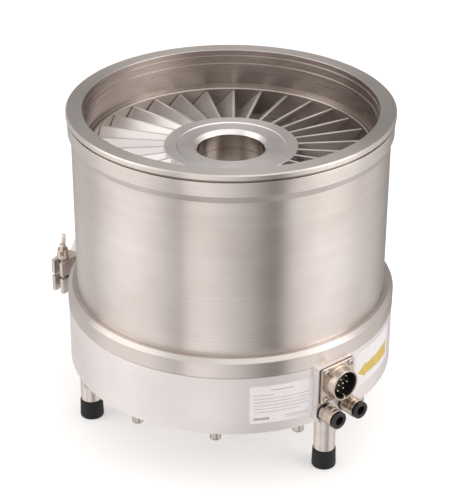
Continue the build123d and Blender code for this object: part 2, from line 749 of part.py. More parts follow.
# ---------------------------------------------------------------- electrical receptacle
key_place = (service_x, service_level - barrel_bore_radius + socket_key_height / 2 - socket_key_root)
with BuildPart() as receptacle_shell:
    with BuildSketch(pad_plane):
        with Locations((service_x, service_level)):
            RectangleRounded(receptacle_width, receptacle_height, 2.0)
        with Locations(*screw_places):
            Circle(m3_radius + screw_clearance, mode=Mode.SUBTRACT)
    extrude(amount=receptacle_plate)
    with BuildSketch(pad_plane):
        with Locations((service_x, service_level)):
            Circle(barrel_radius)
    extrude(amount=barrel_length)
    with BuildSketch(pad_plane):
        with Locations((service_x, service_level)):
            Circle(barrel_bore_radius)
    extrude(amount=barrel_length, mode=Mode.SUBTRACT)
    # polarising key at the foot of the socket
    with BuildSketch(pad_plane):
        with Locations(key_place):
            Rectangle(socket_key_width, socket_key_height)
    extrude(amount=barrel_length - socket_key_setback)
save(receptacle_shell.part, "receptacle_shell")

insert_face = barrel_length - insert_setback
with BuildPart() as receptacle_insert:
    with BuildSketch(pad_plane.offset(insert_face)):
        with Locations((service_x, service_level)):
            Circle(barrel_bore_radius - press_clearance)
        with Locations(key_place):
            Rectangle(socket_key_width + 2 * press_clearance, socket_key_height + 2 * press_clearance,
                      mode=Mode.SUBTRACT)
    extrude(amount=-insert_face - insert_depth)
save(receptacle_insert.part, "receptacle_insert")

contact_places = [(outer_contact_circle, (index + 0.5) * 360 / outer_contacts + key_angle)
                  for index in range(outer_contacts)]
contact_places += [(inner_contact_circle, index * 360 / inner_contacts - key_angle)
                   for index in range(inner_contacts)]
with BuildPart() as contact:
    with BuildSketch(Plane.XZ):
        with BuildLine():
            Polyline((0, 0), (contact_radius, 0), (contact_radius, contact_length - contact_tip_height),
                     (contact_radius - contact_tip_taper, contact_length), (0, contact_length), close=True)
        make_face()
    revolve(axis=Axis.Z)
contact_planes = []
for circle_radius, angle in contact_places:
    centre = (service_x + circle_radius * math.cos(math.radians(angle)),
              -pad_face - insert_face, service_level + circle_radius * math.sin(math.radians(angle)))
    contact_planes.append(Plane(origin=centre, x_dir=(1, 0, 0), z_dir=(0, -1, 0)))
save(placed_group(contact.part, contact_planes), "receptacle_contacts")

receptacle_screw = socket_screw(m3_head_radius, m3_head_height, m3_radius - press_clearance,
                                receptacle_plate + receptacle_screw_grip, m3_hex)
receptacle_screw_planes = [Plane(origin=(x, -pad_face - receptacle_plate, z), x_dir=(1, 0, 0), z_dir=(0, -1, 0))
                           for x, z in screw_places]
save(placed_group(receptacle_screw.part, receptacle_screw_planes), "receptacle_screws")

# ---------------------------------------------------------------- coolant fittings
collar_gap = collar_travel + free_clearance
fitting_front = fitting_seal_thickness + fitting_length
collar_pocket_depth = collar_stem_length - collar_gap + collar_travel + free_clearance
fitting_outline = [
    (water_bore_radius, -fitting_thread_length), (fitting_thread_radius, -fitting_thread_length),
    (fitting_thread_radius, fitting_seal_thickness), (fitting_radius, fitting_seal_thickness),
    (fitting_radius, fitting_front - 0.6), (fitting_radius - 0.6, fitting_front),
    (collar_stem_radius + running_clearance, fitting_front),
    (collar_stem_radius + running_clearance, fitting_front - collar_pocket_depth),
    (tube_bore_radius, fitting_front - collar_pocket_depth),
    (tube_bore_radius, fitting_front - collar_pocket_depth - tube_seat_length),
    (water_bore_radius, fitting_front - collar_pocket_depth - tube_seat_length),
]
collar_outline = [
    (collar_bore_radius, fitting_front + collar_gap - collar_stem_length),
    (collar_stem_radius, fitting_front + collar_gap - collar_stem_length),
    (collar_stem_radius, fitting_front + collar_gap), (collar_head_radius, fitting_front + collar_gap),
    (collar_head_radius, fitting_front + collar_gap + collar_head_thickness - 0.5),
    (collar_head_radius - 0.5, fitting_front + collar_gap + collar_head_thickness),
    (collar_bore_radius + 0.5, fitting_front + collar_gap + collar_head_thickness),
    (collar_bore_radius, fitting_front + collar_gap + collar_head_thickness - 0.5),
]
coolant_fitting = turned(fitting_outline)
release_collar = turned(collar_outline)
with BuildPart() as fitting_seal:
    with BuildSketch():
        Circle(fitting_radius + 0.3)
        Circle(fitting_thread_radius, mode=Mode.SUBTRACT)
    extrude(amount=fitting_seal_thickness)
fitting_planes = [Plane(origin=(x, -pad_face, z), x_dir=(1, 0, 0), z_dir=(0, -1, 0)) for x, z in fitting_places]
for side, plane in zip(("left", "right"), fitting_planes):
    save(Location(plane) * coolant_fitting.part, f"coolant_fitting_{side}")
    save(Location(plane) * release_collar.part, f"release_collar_{side}")
save(placed_group(fitting_seal.part, fitting_planes), "fitting_seals")

# ---------------------------------------------------------------- exhaust port, in its axial half section
def kf_flank(face, away):
    """Points of a clamped flange's rim and tapered back; away is the way from face to tube."""
    flank = (kf_flange_radius - port_tube_radius) * math.tan(math.radians(kf_taper))
    return [(face, kf_flange_radius), (face + away * kf_rim, kf_flange_radius),
            (face + away * (kf_rim + flank), port_tube_radius)]


blank_face = port_face + kf_gap
tube_inner_end = (exhaust_gallery_radius + base_radius) / 2 - 1.0
exhaust_port_outline = [
    (port_face - kf_recess_depth, port_bore_radius), (port_face - kf_recess_depth, kf_recess_radius),
    (port_face, kf_recess_radius), *kf_flank(port_face, -1),
    (tube_inner_end, port_tube_radius), (tube_inner_end, port_bore_radius),
]
exhaust_port = turned(exhaust_port_outline, port_section, port_axis)
save(exhaust_port.part, "exhaust_port")

exhaust_blank_outline = [
    (blank_face + kf_recess_depth, 0), (blank_face + kf_recess_depth, kf_recess_radius),
    (blank_face, kf_recess_radius), *kf_flank(blank_face, 1),
    (blank_face + blank_thickness, port_tube_radius - 1.0), (blank_face + blank_thickness, 0),
]
exhaust_blank = turned(exhaust_blank_outline, port_section, port_axis)
save(exhaust_blank.part, "exhaust_blank")

ring_fit = kf_recess_radius - 0.1
centring_ring_outline = [
    (port_face - kf_recess_depth + 0.4, ring_fit - 1.4), (port_face - kf_recess_depth + 0.4, ring_fit),
    (port_face, ring_fit), (port_face, ring_fit + 1.0), (blank_face, ring_fit + 1.0), (blank_face, ring_fit),
    (blank_face + kf_recess_depth - 0.4, ring_fit), (blank_face + kf_recess_depth - 0.4, ring_fit - 1.4),
]
centring_ring = turned(centring_ring_outline, port_section, port_axis)
save(centring_ring.part, "exhaust_centring_ring")

exhaust_seal_outline = [
    (port_face, ring_fit + 1.0), (port_face, ring_fit + 4.6), (port_face + 0.9, ring_fit + 5.6),
    (blank_face - 0.9, ring_fit + 5.6), (blank_face, ring_fit + 4.6), (blank_face, ring_fit + 1.0),
]
exhaust_seal = turned(exhaust_seal_outline, port_section, port_axis)
save(exhaust_seal.part, "exhaust_seal")

# Clamp: two hinged half rings with a wedge groove, drawn in the plane midway between the flanges
clamp_centre = (port_face + blank_face) / 2
clamp_plane = Plane(origin=port_direction * clamp_centre + Vector(0, 0, port_level),
                    x_dir=port_across, z_dir=port_direction)
clamp_ring_section = Plane(origin=clamp_plane.origin, x_dir=port_direction, z_dir=-port_across)
groove_flat = kf_gap / 2 + kf_rim + 0.2
groove_mouth_radius = port_tube_radius + 1.2
groove_mouth = groove_flat + (kf_flange_radius + 0.6 - groove_mouth_radius) * math.tan(math.radians(kf_taper))
clamp_section = [
    (-clamp_width / 2, groove_mouth_radius), (-groove_mouth, groove_mouth_radius),
    (-groove_flat, kf_flange_radius + 0.6), (groove_flat, kf_flange_radius + 0.6),
    (groove_mouth, groove_mouth_radius), (clamp_width / 2, groove_mouth_radius),
    (clamp_width / 2, clamp_radius - 1.5), (clamp_width / 2 - 1.5, clamp_radius),
    (-clamp_width / 2 + 1.5, clamp_radius), (-clamp_width / 2, clamp_radius - 1.5),
]


def clamp_box(left, right, low, high, thickness, middle=0.0):
    """A block drawn in the clamp's plane and centred on it, for the clamp's lugs and webs."""
    with BuildPart() as block:
        with BuildSketch(clamp_plane.offset(middle - thickness / 2)):
            with Locations(((left + right) / 2, (low + high) / 2)):
                Rectangle(right - left, high - low)
        extrude(amount=thickness)
    return block.part


lug_end = clamp_bolt_offset + clamp_lug_length
lug_top = clamp_split / 2 + clamp_lug_height
knuckle = clamp_width / 3


def clamp_half(side, knuckle_middles):
    """One half of the clamp; side is +1 for the upper half and -1 for the lower one."""
    near, far = sorted((side * clamp_split / 2, side * lug_top))
    inner, outer = sorted((side * clamp_split / 2, side * 2 * clamp_radius))
    web_low, web_high = sorted((0.0, side * clamp_hinge_radius))
    with BuildPart() as half:
        with BuildSketch(clamp_ring_section):
            with BuildLine():
                Polyline(*clamp_section, close=True)
            make_face()
        revolve(axis=port_axis)
        add(clamp_box(-2 * clamp_radius, 2 * clamp_radius, inner, outer, 2 * clamp_width), mode=Mode.INTERSECT)
        # lug with its slot open to the outside
        add(clamp_box(clamp_radius - clamp_root, lug_end, near, far, clamp_lug_width))
        add(clamp_box(clamp_bolt_offset - clamp_eye_radius - free_clearance, lug_end + 1, near - 1, far + 1,
                      clamp_slot_width), mode=Mode.SUBTRACT)
        # knuckles of the hinge
        for middle in knuckle_middles:
            with BuildSketch(clamp_plane.offset(middle - knuckle / 2 + clamp_knuckle_gap)):
                with Locations((-clamp_hinge_offset, 0)):
                    Circle(clamp_hinge_radius)
            extrude(amount=knuckle - 2 * clamp_knuckle_gap)
            add(clamp_box(-clamp_hinge_offset, -clamp_radius + clamp_root, web_low, web_high,
                          knuckle - 2 * clamp_knuckle_gap, middle))
        with BuildSketch(clamp_plane.offset(-clamp_width)):
            with Locations((-clamp_hinge_offset, 0)):
                Circle(clamp_pin_radius + press_clearance)
        extrude(amount=2 * clamp_width, mode=Mode.SUBTRACT)
        if side < 0:
            with BuildSketch(clamp_plane.offset(-clamp_width)):
                with Locations((clamp_bolt_offset, -swing_pivot_drop)):
                    Circle(clamp_pin_radius + press_clearance)
            extrude(amount=2 * clamp_width, mode=Mode.SUBTRACT)
        else:
            # slope of the lug's top, so that the nut clears it as the bolt swings out
            with BuildSketch(clamp_plane.offset(-clamp_width)):
                with BuildLine():
                    Polyline((clamp_bolt_offset, lug_top), (lug_end + 1, lug_top - lug_slope),
                             (lug_end + 1, lug_top + 1), (clamp_bolt_offset, lug_top + 1), close=True)
                make_face()
            extrude(amount=2 * clamp_width, mode=Mode.SUBTRACT)
    return half


clamp_half_upper = clamp_half(1, (0.0,))
save(clamp_half_upper.part, "clamp_half_upper")
clamp_half_lower = clamp_half(-1, (-knuckle, knuckle))
save(clamp_half_lower.part, "clamp_half_lower")

with BuildPart() as clamp_hinge_pin:
    with BuildSketch(clamp_plane.offset(-clamp_width / 2)):
        with Locations((-clamp_hinge_offset, 0)):
            Circle(clamp_pin_radius)
    extrude(amount=clamp_width)
save(clamp_hinge_pin.part, "clamp_hinge_pin")

with BuildPart() as swing_bolt_pin:
    with BuildSketch(clamp_plane.offset(-clamp_lug_width / 2)):
        with Locations((clamp_bolt_offset, -swing_pivot_drop)):
            Circle(clamp_pin_radius)
    extrude(amount=clamp_lug_width)
save(swing_bolt_pin.part, "swing_bolt_pin")

with BuildPart() as swing_bolt:
    with BuildSketch(clamp_plane.offset(-clamp_eye_thickness / 2)):
        with Locations((clamp_bolt_offset, -swing_pivot_drop)):
            Circle(clamp_eye_radius)
    extrude(amount=clamp_eye_thickness)
    with BuildSketch(Plane(origin=clamp_plane.from_local_coords((clamp_bolt_offset, -swing_pivot_drop, 0)),
                           x_dir=port_across, z_dir=(0, 0, 1))):
        Circle(swing_bolt_radius)
    extrude(amount=swing_bolt_length)
    with BuildSketch(clamp_plane.offset(-clamp_eye_thickness / 2)):
        with Locations((clamp_bolt_offset, -swing_pivot_drop)):
            Circle(clamp_pin_radius + running_clearance)
    extrude(amount=clamp_eye_thickness, mode=Mode.SUBTRACT)
save(swing_bolt.part, "swing_bolt")

washer_seat = Plane(origin=clamp_plane.from_local_coords((clamp_bolt_offset, lug_top, 0)),
                    x_dir=port_across.rotate(Axis.Z, wing_rest_turn), z_dir=(0, 0, 1))
with BuildPart() as clamp_washer:
    with BuildSketch(washer_seat):
        Circle(m6_washer_radius)
        Circle(swing_bolt_radius + running_clearance, mode=Mode.SUBTRACT)
    extrude(amount=m6_washer_thickness)
save(clamp_washer.part, "clamp_washer")

nut_seat = washer_seat.offset(m6_washer_thickness)
wing_section = Plane(origin=nut_seat.origin, x_dir=nut_seat.x_dir, z_dir=nut_seat.x_dir.cross(nut_seat.z_dir))
with BuildPart() as wing_nut:
    with BuildSketch(nut_seat):
        Circle(wing_hub_radius)
    extrude(amount=wing_hub_height, taper=wing_hub_taper)
    with BuildSketch(wing_section):
        with Locations((wing_span - wing_ear_radius, wing_height - wing_ear_radius)):
            Circle(wing_ear_radius)
        with Locations((wing_hub_radius - wing_root_width, (wing_foot_height + wing_hub_height) / 2)):
            Rectangle(wing_root_width, wing_hub_height - wing_foot_height)
        make_hull()
        mirror(about=Plane.YZ)
    extrude(amount=wing_thickness / 2, both=True)
    with BuildSketch(nut_seat):
        Circle(swing_bolt_radius + running_clearance)
    extrude(amount=wing_height, mode=Mode.SUBTRACT)
save(wing_nut.part, "wing_nut")
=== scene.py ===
import json
import math

import bpy
from mathutils import Matrix, Vector


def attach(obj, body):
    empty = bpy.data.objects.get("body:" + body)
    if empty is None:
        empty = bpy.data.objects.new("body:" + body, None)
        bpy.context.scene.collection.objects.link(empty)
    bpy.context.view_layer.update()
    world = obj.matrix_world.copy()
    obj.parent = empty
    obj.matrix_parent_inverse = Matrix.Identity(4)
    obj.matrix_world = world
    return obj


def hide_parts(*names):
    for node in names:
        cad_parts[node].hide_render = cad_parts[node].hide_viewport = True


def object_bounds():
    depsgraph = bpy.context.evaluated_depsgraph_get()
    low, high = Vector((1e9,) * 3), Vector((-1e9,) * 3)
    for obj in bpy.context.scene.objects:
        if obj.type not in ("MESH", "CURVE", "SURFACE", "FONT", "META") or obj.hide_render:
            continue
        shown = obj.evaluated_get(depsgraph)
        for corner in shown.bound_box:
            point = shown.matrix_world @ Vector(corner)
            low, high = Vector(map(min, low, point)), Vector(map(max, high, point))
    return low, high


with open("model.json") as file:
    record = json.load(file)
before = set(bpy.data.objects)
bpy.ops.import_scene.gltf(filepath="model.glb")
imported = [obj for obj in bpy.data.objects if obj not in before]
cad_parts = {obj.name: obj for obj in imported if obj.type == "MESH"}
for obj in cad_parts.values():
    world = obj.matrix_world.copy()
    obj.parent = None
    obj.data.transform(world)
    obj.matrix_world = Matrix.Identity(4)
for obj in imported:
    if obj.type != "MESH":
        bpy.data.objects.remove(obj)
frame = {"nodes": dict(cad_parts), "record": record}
nodes = frame["nodes"]
cadLow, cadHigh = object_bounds()
mm = 0.001
print("frame loaded:", len(nodes), "CAD nodes")


camera = {
    "lens": 118.59,  # mm on a 36 mm sensor
    "azimuth": -39.92,  # degrees round the pump, 0 looks along +Y
    "elevation": 28.221,
    "distance": 1.51228,
    "target": (-0.001435, 0.001201, -0.144948),
    "roll": 0.2233,
    "nearest": 0.05, "farthest": 20,
}


def viewDirection(azimuth, elevation):
    a, e = math.radians(azimuth), math.radians(elevation)
    return Vector((math.sin(a) * math.cos(e), -math.cos(a) * math.cos(e), math.sin(e)))


def makeCamera(s):
    data = bpy.data.cameras.new("studioCamera")
    data.lens = s["lens"]
    data.clip_start, data.clip_end = s["nearest"], s["farthest"]
    eye = bpy.data.objects.new("studioCamera", data)
    bpy.context.scene.collection.objects.link(eye)
    back = viewDirection(s["azimuth"], s["elevation"])
    turn = (-back).to_track_quat("-Z", "Y").to_matrix().to_4x4()
    roll = Matrix.Rotation(math.radians(s["roll"]), 4, "Z")
    eye.matrix_world = Matrix.Translation(Vector(s["target"]) + back * s["distance"]) @ turn @ roll
    bpy.context.scene.camera = eye


makeCamera(camera)
print("camera ready")


def hexColour(code):  # sRGB hex to linear
    parts = [int(code[i:i + 2], 16) / 255 for i in (1, 3, 5)]
    return (*(c / 12.92 if c <= 0.04045 else ((c + 0.055) / 1.055) ** 2.4 for c in parts), 1.0)


def addNode(tree, kind, inputs=None, stops=None, **settings):
    # inputs by name or number: a value to set, or a socket, or a node whose first output is linked;
    # stops are the (place, colour) pairs of a colour ramp
    node = tree.nodes.new(kind)
    for key, value in settings.items():
        setattr(node, key, value)
    for key, value in (inputs or {}).items():
        if isinstance(value, bpy.types.Node):
            value = value.outputs[0]
        if isinstance(value, bpy.types.NodeSocket):
            tree.links.new(value, node.inputs[key])
        else:
            node.inputs[key].default_value = value
    if stops:
        elements = node.color_ramp.elements
        while len(elements) < len(stops):
            elements.new(1.0)
        for element, (place, colour) in zip(elements, stops):
            element.position, element.color = place, colour
    return node


def startMaterial(name):
    material = bpy.data.materials.new(name)
    material.use_nodes = True
    tree = material.node_tree
    tree.nodes.clear()
    return material, tree, addNode(tree, "ShaderNodeTexCoord").outputs["Object"]


def finishMaterial(tree, surface):
    shader = addNode(tree, "ShaderNodeBsdfPrincipled", surface)
    addNode(tree, "ShaderNodeOutputMaterial", {"Surface": shader})


def cloudedTint(tree, point, size, light, dark, detail=2.0):
    # the colour drifts between dark and light in clouds this many metres wide
    clouds = addNode(tree, "ShaderNodeTexNoise", {"Vector": point, "Scale": 1 / size, "Detail": detail})
    tones = [(0.3, hexColour(dark)), (0.7, hexColour(light))]
    return addNode(tree, "ShaderNodeValToRGB", {0: clouds}, tones)


def turnedPoint(tree, point):
    # (distance from the pump's axis, level): what runs round a turned surface is constant here
    parts = addNode(tree, "ShaderNodeSeparateXYZ", {0: point})
    flat = addNode(tree, "ShaderNodeCombineXYZ", {0: parts.outputs[0], 1: parts.outputs[1]})
    radius = addNode(tree, "ShaderNodeVectorMath", {0: flat}, operation="LENGTH")
    return addNode(tree, "ShaderNodeCombineXYZ", {0: radius.outputs["Value"], 1: parts.outputs[2]})


def turnedStainless(name, light, dark, smooth, rough):
    # stainless steel, finish turned: tool lines run round it and draw reflections out along the axis
    material, tree, point = startMaterial(name)
    turned = turnedPoint(tree, point)
    # 0.1 mm feed marks, drawn coarser so that they show
    lines = addNode(tree, "ShaderNodeTexNoise", {
        "Vector": turned, "Scale": 1 / (1.1 * mm), "Detail": 4.0, "Roughness": 0.75})
    bands = addNode(tree, "ShaderNodeTexNoise", {"Vector": turned, "Scale": 1 / (9 * mm)})
    clouds = addNode(tree, "ShaderNodeTexNoise", {"Vector": point, "Scale": 1 / (70 * mm)})
    cloudShare = addNode(tree, "ShaderNodeMath", {0: clouds, 1: 0.55}, operation="MULTIPLY")
    lineShare = addNode(tree, "ShaderNodeMath", {0: lines, 1: 0.45}, operation="MULTIPLY")
    mixed = addNode(tree, "ShaderNodeMath", {0: cloudShare, 1: lineShare}, operation="ADD")
    tones = [(0.36, hexColour(dark)), (0.64, hexColour(light))]
    finishMaterial(tree, {
        "Base Color": addNode(tree, "ShaderNodeValToRGB", {0: mixed}, tones),
        "Roughness": addNode(tree, "ShaderNodeMapRange", {0: bands, 1: 0.3, 2: 0.7, 3: smooth, 4: rough}),
        "Normal": addNode(tree, "ShaderNodeBump", {"Height": lines, "Distance": 0.03 * mm}),
        "Tangent": addNode(tree, "ShaderNodeTangent", direction_type="RADIAL", axis="Z"),
        "Metallic": 1.0, "Anisotropic": 0.85, "Anisotropic Rotation": 0.25})
    return material


def blastedAluminium(name, light, dark, roughness):
    # cast and machined aluminium, bead blasted: an even satin face with a very fine grain
    material, tree, point = startMaterial(name)
    dimples = addNode(tree, "ShaderNodeTexNoise", {
        "Vector": point, "Scale": 1 / (0.6 * mm), "Roughness": 0.6})  # 0.1 mm dimples, drawn coarser
    finishMaterial(tree, {
        "Base Color": cloudedTint(tree, point, 50 * mm, light, dark, 3.0),
        "Normal": addNode(tree, "ShaderNodeBump", {"Height": dimples, "Distance": 0.03 * mm}),
        "Metallic": 1.0, "Roughness": roughness})
    return material


def milledAluminium(name, light, dark, roughness):
    # high-strength aluminium cut by end mill: bright, with soft tool marks
    material, tree, point = startMaterial(name)
    marks = addNode(tree, "ShaderNodeTexNoise", {
        "Vector": turnedPoint(tree, point), "Scale": 1 / (1.2 * mm), "Roughness": 0.6})
    finishMaterial(tree, {
        "Base Color": cloudedTint(tree, point, 30 * mm, light, dark),
        "Normal": addNode(tree, "ShaderNodeBump", {"Height": marks, "Distance": 0.012 * mm}),
        "Metallic": 0.75, "Roughness": roughness})
    return material


def turnedAluminium(name, light, dark, roughness, anisotropic):
    # the same alloy faced on a lathe: fine rings, and highlights that fan out from the centre
    material, tree, point = startMaterial(name)
    rings = addNode(tree, "ShaderNodeTexNoise", {
        "Vector": turnedPoint(tree, point), "Scale": 1 / (0.9 * mm),
        "Detail": 3.0, "Roughness": 0.7})  # 0.1 mm feed, drawn coarser
    finishMaterial(tree, {
        "Base Color": cloudedTint(tree, point, 20 * mm, light, dark),
        "Normal": addNode(tree, "ShaderNodeBump", {"Height": rings, "Distance": 0.016 * mm}),
        "Tangent": addNode(tree, "ShaderNodeTangent", direction_type="RADIAL", axis="Z"),
        "Metallic": 1.0, "Roughness": roughness, "Anisotropic": anisotropic, "Anisotropic Rotation": 0.25})
    return material


def plainMetal(name, light, dark, roughness, grain=0.8, depth=0.004):
    # small metal parts: one colour, with a gloss that wanders a little and a grain of this many mm
    material, tree, point = startMaterial(name)
    wear = addNode(tree, "ShaderNodeTexNoise", {"Vector": point, "Scale": 1 / (4 * mm)})
    skin = addNode(tree, "ShaderNodeTexNoise", {"Vector": point, "Scale": 1 / (grain * mm)})
    finishMaterial(tree, {
        "Base Color": cloudedTint(tree, point, 12 * mm, light, dark, 3.0),
        "Roughness": addNode(tree, "ShaderNodeMapRange", {
            0: wear, 1: 0.3, 2: 0.7, 3: roughness * 0.85, 4: roughness * 1.15}),
        "Normal": addNode(tree, "ShaderNodeBump", {"Height": skin, "Distance": depth * mm}),
        "Metallic": 1.0})
    return material


def mouldedPolymer(name, light, dark, roughness):
    # moulded rubber or plastic: dark, with a fine even mould texture
    material, tree, point = startMaterial(name)
    skin = addNode(tree, "ShaderNodeTexNoise", {"Vector": point, "Scale": 1 / (0.9 * mm), "Detail": 3.0})
    finishMaterial(tree, {
        "Base Color": cloudedTint(tree, point, 6 * mm, light, dark, 3.0),
        "Normal": addNode(tree, "ShaderNodeBump", {"Height": skin, "Distance": 0.03 * mm}),
        "Metallic": 0.0, "Roughness": roughness, "IOR": 1.5})
    return material


def linedNickel(name, light, dark, roughness):
    # nickel over turned brass: lathe rings run round each barrel on the service side, all along Y
    material, tree, point = startMaterial(name)
    parts = addNode(tree, "ShaderNodeSeparateXYZ", {0: point})
    depth = addNode(tree, "ShaderNodeCombineXYZ", {1: parts.outputs[1]})
    # 0.15 mm feed marks, drawn coarser so that they show
    rings = addNode(tree, "ShaderNodeTexNoise", {
        "Vector": depth, "Scale": 1 / (0.8 * mm), "Detail": 3.0, "Roughness": 0.7})
    tones = [(0.3, hexColour(dark)), (0.7, hexColour(light))]
    finishMaterial(tree, {
        "Base Color": addNode(tree, "ShaderNodeValToRGB", {0: rings}, tones),
        "Normal": addNode(tree, "ShaderNodeBump", {"Height": rings, "Distance": 0.02 * mm}),
        "Metallic": 1.0, "Roughness": roughness})
    return material


def printedFilm(name, light, dark):
    # polyester film and the ink on it: smooth and satin, its colour very even
    material, tree, point = startMaterial(name)
    skin = addNode(tree, "ShaderNodeTexNoise", {"Vector": point, "Scale": 1 / (1.5 * mm)})
    finishMaterial(tree, {
        "Base Color": cloudedTint(tree, point, 10 * mm, light, dark),
        "Normal": addNode(tree, "ShaderNodeBump", {"Height": skin, "Distance": 0.004 * mm}),
        "Metallic": 0.0, "Roughness": 0.38, "IOR": 1.5})
    return material


finishes = {
    # stainless steel, turned: pale outside; a darker copy of it is painted shade in the bore and the claw
    # groove
    "casing_steel": turnedStainless("turned_stainless_steel", "#e2dad5", "#d0c6c0", 0.28, 0.34),
    # the same steel made darker: painted shade for the bore and the claw groove
    "casing_painted_shade": turnedStainless("painted_shade_stainless_steel", "#bcb1aa", "#a89c94", 0.26, 0.32),
    # aluminium: satin where blasted, bright where cut, grey and soft where stamped
    "base_aluminium": blastedAluminium("blasted_aluminium", "#f6efee", "#eee6e5", 0.5),
    "cover_aluminium": blastedAluminium("blasted_cover_aluminium", "#dcd4ce", "#cfc6c0", 0.45),
    "leg_aluminium": plainMetal("turned_leg_aluminium", "#e4dad5", "#d6cbc5", 0.38),
    "rotor_aluminium": milledAluminium("milled_aluminium", "#e6e0dd", "#d9d2ce", 0.33),
    "rotor_facing": turnedAluminium("turned_aluminium", "#f2ecea", "#e6dfdd", 0.34, 0.55),
    # the faced aluminium made darker: painted shade in the hub's recess and on the cap at its foot
    "rotor_painted_shade": turnedAluminium("painted_shade_aluminium", "#b0a7a2", "#a2988f", 0.24, 0.7),
    "stator_aluminium": plainMetal("stamped_stator_aluminium", "#e2dcd8", "#d3ccc8", 0.45),
    # cast under pressure: duller, with a coarse skin
    "clamp_aluminium": plainMetal("pressure_cast_clamp_aluminium", "#d6cec8", "#c4bbb4", 0.42, 1.2, 0.02),
    # steel: glossy and grey where ground, a little warmer where rolled or turned
    "shaft_steel": plainMetal("ground_shaft_steel", "#b8b2ae", "#a8a29e", 0.25),
    "screw_steel": plainMetal("rolled_screw_steel", "#cfc6c0", "#bdb3ad", 0.3),
    "port_steel": plainMetal("turned_port_steel", "#d4ccc7", "#c6beb8", 0.27),
    "magnet": plainMetal("plated_magnet", "#9a9692", "#8c8884", 0.3),
    # nickel: warm grey and glossy, with rings where the brass under it was turned
    "nickel_plate": plainMetal("satin_nickel_plate", "#d8cbbf", "#c6b8ab", 0.26),
    "nickel_lines": linedNickel("turned_nickel_plate", "#dccfc3", "#b5a698", 0.26),
    "contact_gold": plainMetal("pale_gold_plated_contact", "#f6ecd8", "#eadfc8", 0.2),
    # rubber is near black and matt, plastics are dark with a soft shine
    "foot_rubber": mouldedPolymer("moulded_foot_rubber", "#121113", "#0b0a0b", 0.66),
    # near black under the receptacle plate's edge: painted shadow of the plate
    "pad_painted_shadow": mouldedPolymer("painted_shadow_sheet", "#1b1918", "#131111", 0.7),
    "seal": mouldedPolymer("extruded_fluoro_rubber", "#1d1b1b", "#151313", 0.5),
    "insert_plastic": mouldedPolymer("glass_filled_insert_plastic", "#201d1c", "#161413", 0.42),
    "collar_plastic": mouldedPolymer("acetal_release_collar", "#2a2627", "#1c191a", 0.36),
    "label_film": printedFilm("polyester_label_film", "#f4eff0", "#efe9ea"),
    "label_ink": printedFilm("screen_printed_grey_ink", "#b3adae", "#a9a3a4"),
    "arrow_ink": printedFilm("screen_printed_yellow_ink", "#dfc25a", "#d6b850"),
}
slotOf = {part["node"]: part["material_slot"] for part in frame["record"]["subparts"]}
for name, node in nodes.items():
    node.data.materials.clear()
    # the cap deep in the hub's recess takes the darker aluminium: painted shade
    node.data.materials.append(finishes["rotor_painted_shade" if name == "rotor_cap" else slotOf[name]])
    for face in node.data.polygons:
        face.material_index = 0
print("materials ready:", len(finishes))


def roundedSection(corners, defaultRound=0.3, steps=3):
    # corners are (radius, level[, round]) in mm, anticlockwise with the axis on the left;
    # gives places and outward normals, with an arc at each corner that is off the axis
    section = []
    count = len(corners)
    for index, corner in enumerate(corners):
        here = Vector(corner[:2])
        before = Vector(corners[index - 1][:2]) - here
        after = Vector(corners[(index + 1) % count][:2]) - here
        wanted = corner[2] if len(corner) > 2 else defaultRound
        if here.x < 1e-6:
            side = before if before.normalized().x > 0.5 else after
            section.append((here, Vector((0, 1 if side is before else -1))))
            continue
        turn = math.pi - before.angle(after)
        setback = min(wanted * math.tan(turn / 2), 0.45 * before.length, 0.45 * after.length)
        radius = setback / math.tan(turn / 2)
        inDirection, outDirection = -before.normalized(), after.normalized()
        startNormal = Vector((inDirection.y, -inDirection.x))
        bend = math.copysign(1, inDirection.x * outDirection.y - inDirection.y * outDirection.x)
        centre = here - inDirection * setback - startNormal * radius * bend
        for step in range(steps + 1):
            angle = bend * turn * step / steps
            c, n = math.cos(angle), math.sin(angle)
            normal = Vector((startNormal.x * c - startNormal.y * n, startNormal.x * n + startNormal.y * c))
            section.append((centre + normal * radius * bend, normal))
    return section


def turnedMesh(name, corners, turns=192, place=Matrix()):
    vertices, normals, rings, faces = [], [], [], []
    direction = place.to_3x3()
    for point, normal in roundedSection(corners):
        onAxis = point.x < 1e-6
        ring = []
        for turn in range(1 if onAxis else turns):
            angle = 2 * math.pi * turn / turns
            c, n = math.cos(angle), math.sin(angle)
            ring.append(len(vertices))
            vertices.append(place @ Vector((point.x * c * mm, point.x * n * mm, point.y * mm)))
            normals.append(direction @ Vector((normal.x * c, normal.x * n, normal.y)))
        rings.append(ring)
    for one, two in zip(rings, rings[1:] + rings[:1]):
        if len(one) == len(two) == 1:
            continue
        for turn in range(turns):
            following = (turn + 1) % turns
            corner = [one[turn % len(one)], one[following % len(one)],
                      two[following % len(two)], two[turn % len(two)]]
            faces.append(list(dict.fromkeys(corner)))
    mesh = bpy.data.meshes.new(name)
    mesh.from_pydata(vertices, [], faces)
    mesh.normals_split_custom_set_from_vertices(normals)
    return mesh


def paintTwo(mesh, outer, inner, isInner):
    mesh.materials.append(finishes[outer])
    mesh.materials.append(finishes[inner])
    for face in mesh.polygons:
        face.material_index = 1 if isInner(face.center.xy.length / mm, face.center.z / mm) else 0


def showPiece(name, mesh, body, slot, replaced=(), finish=None):
    # the finish is the slot's own unless another is named
    piece = bpy.data.objects.new(name, mesh)
    bpy.context.scene.collection.objects.link(piece)
    if not mesh.materials:
        mesh.materials.append(finishes[finish or slot])
    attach(piece, body)
    if replaced:
        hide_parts(*replaced)


def newGroup(name, wanted):
    # wanted: the kind of each named input
    tree = bpy.data.node_groups.new(name, "GeometryNodeTree")
    tree.interface.new_socket("Geometry", in_out="OUTPUT", socket_type="NodeSocketGeometry")
    for title, kind in wanted.items():
        tree.interface.new_socket(title, in_out="INPUT", socket_type="NodeSocket" + kind)
    return tree, addNode(tree, "NodeGroupInput").outputs


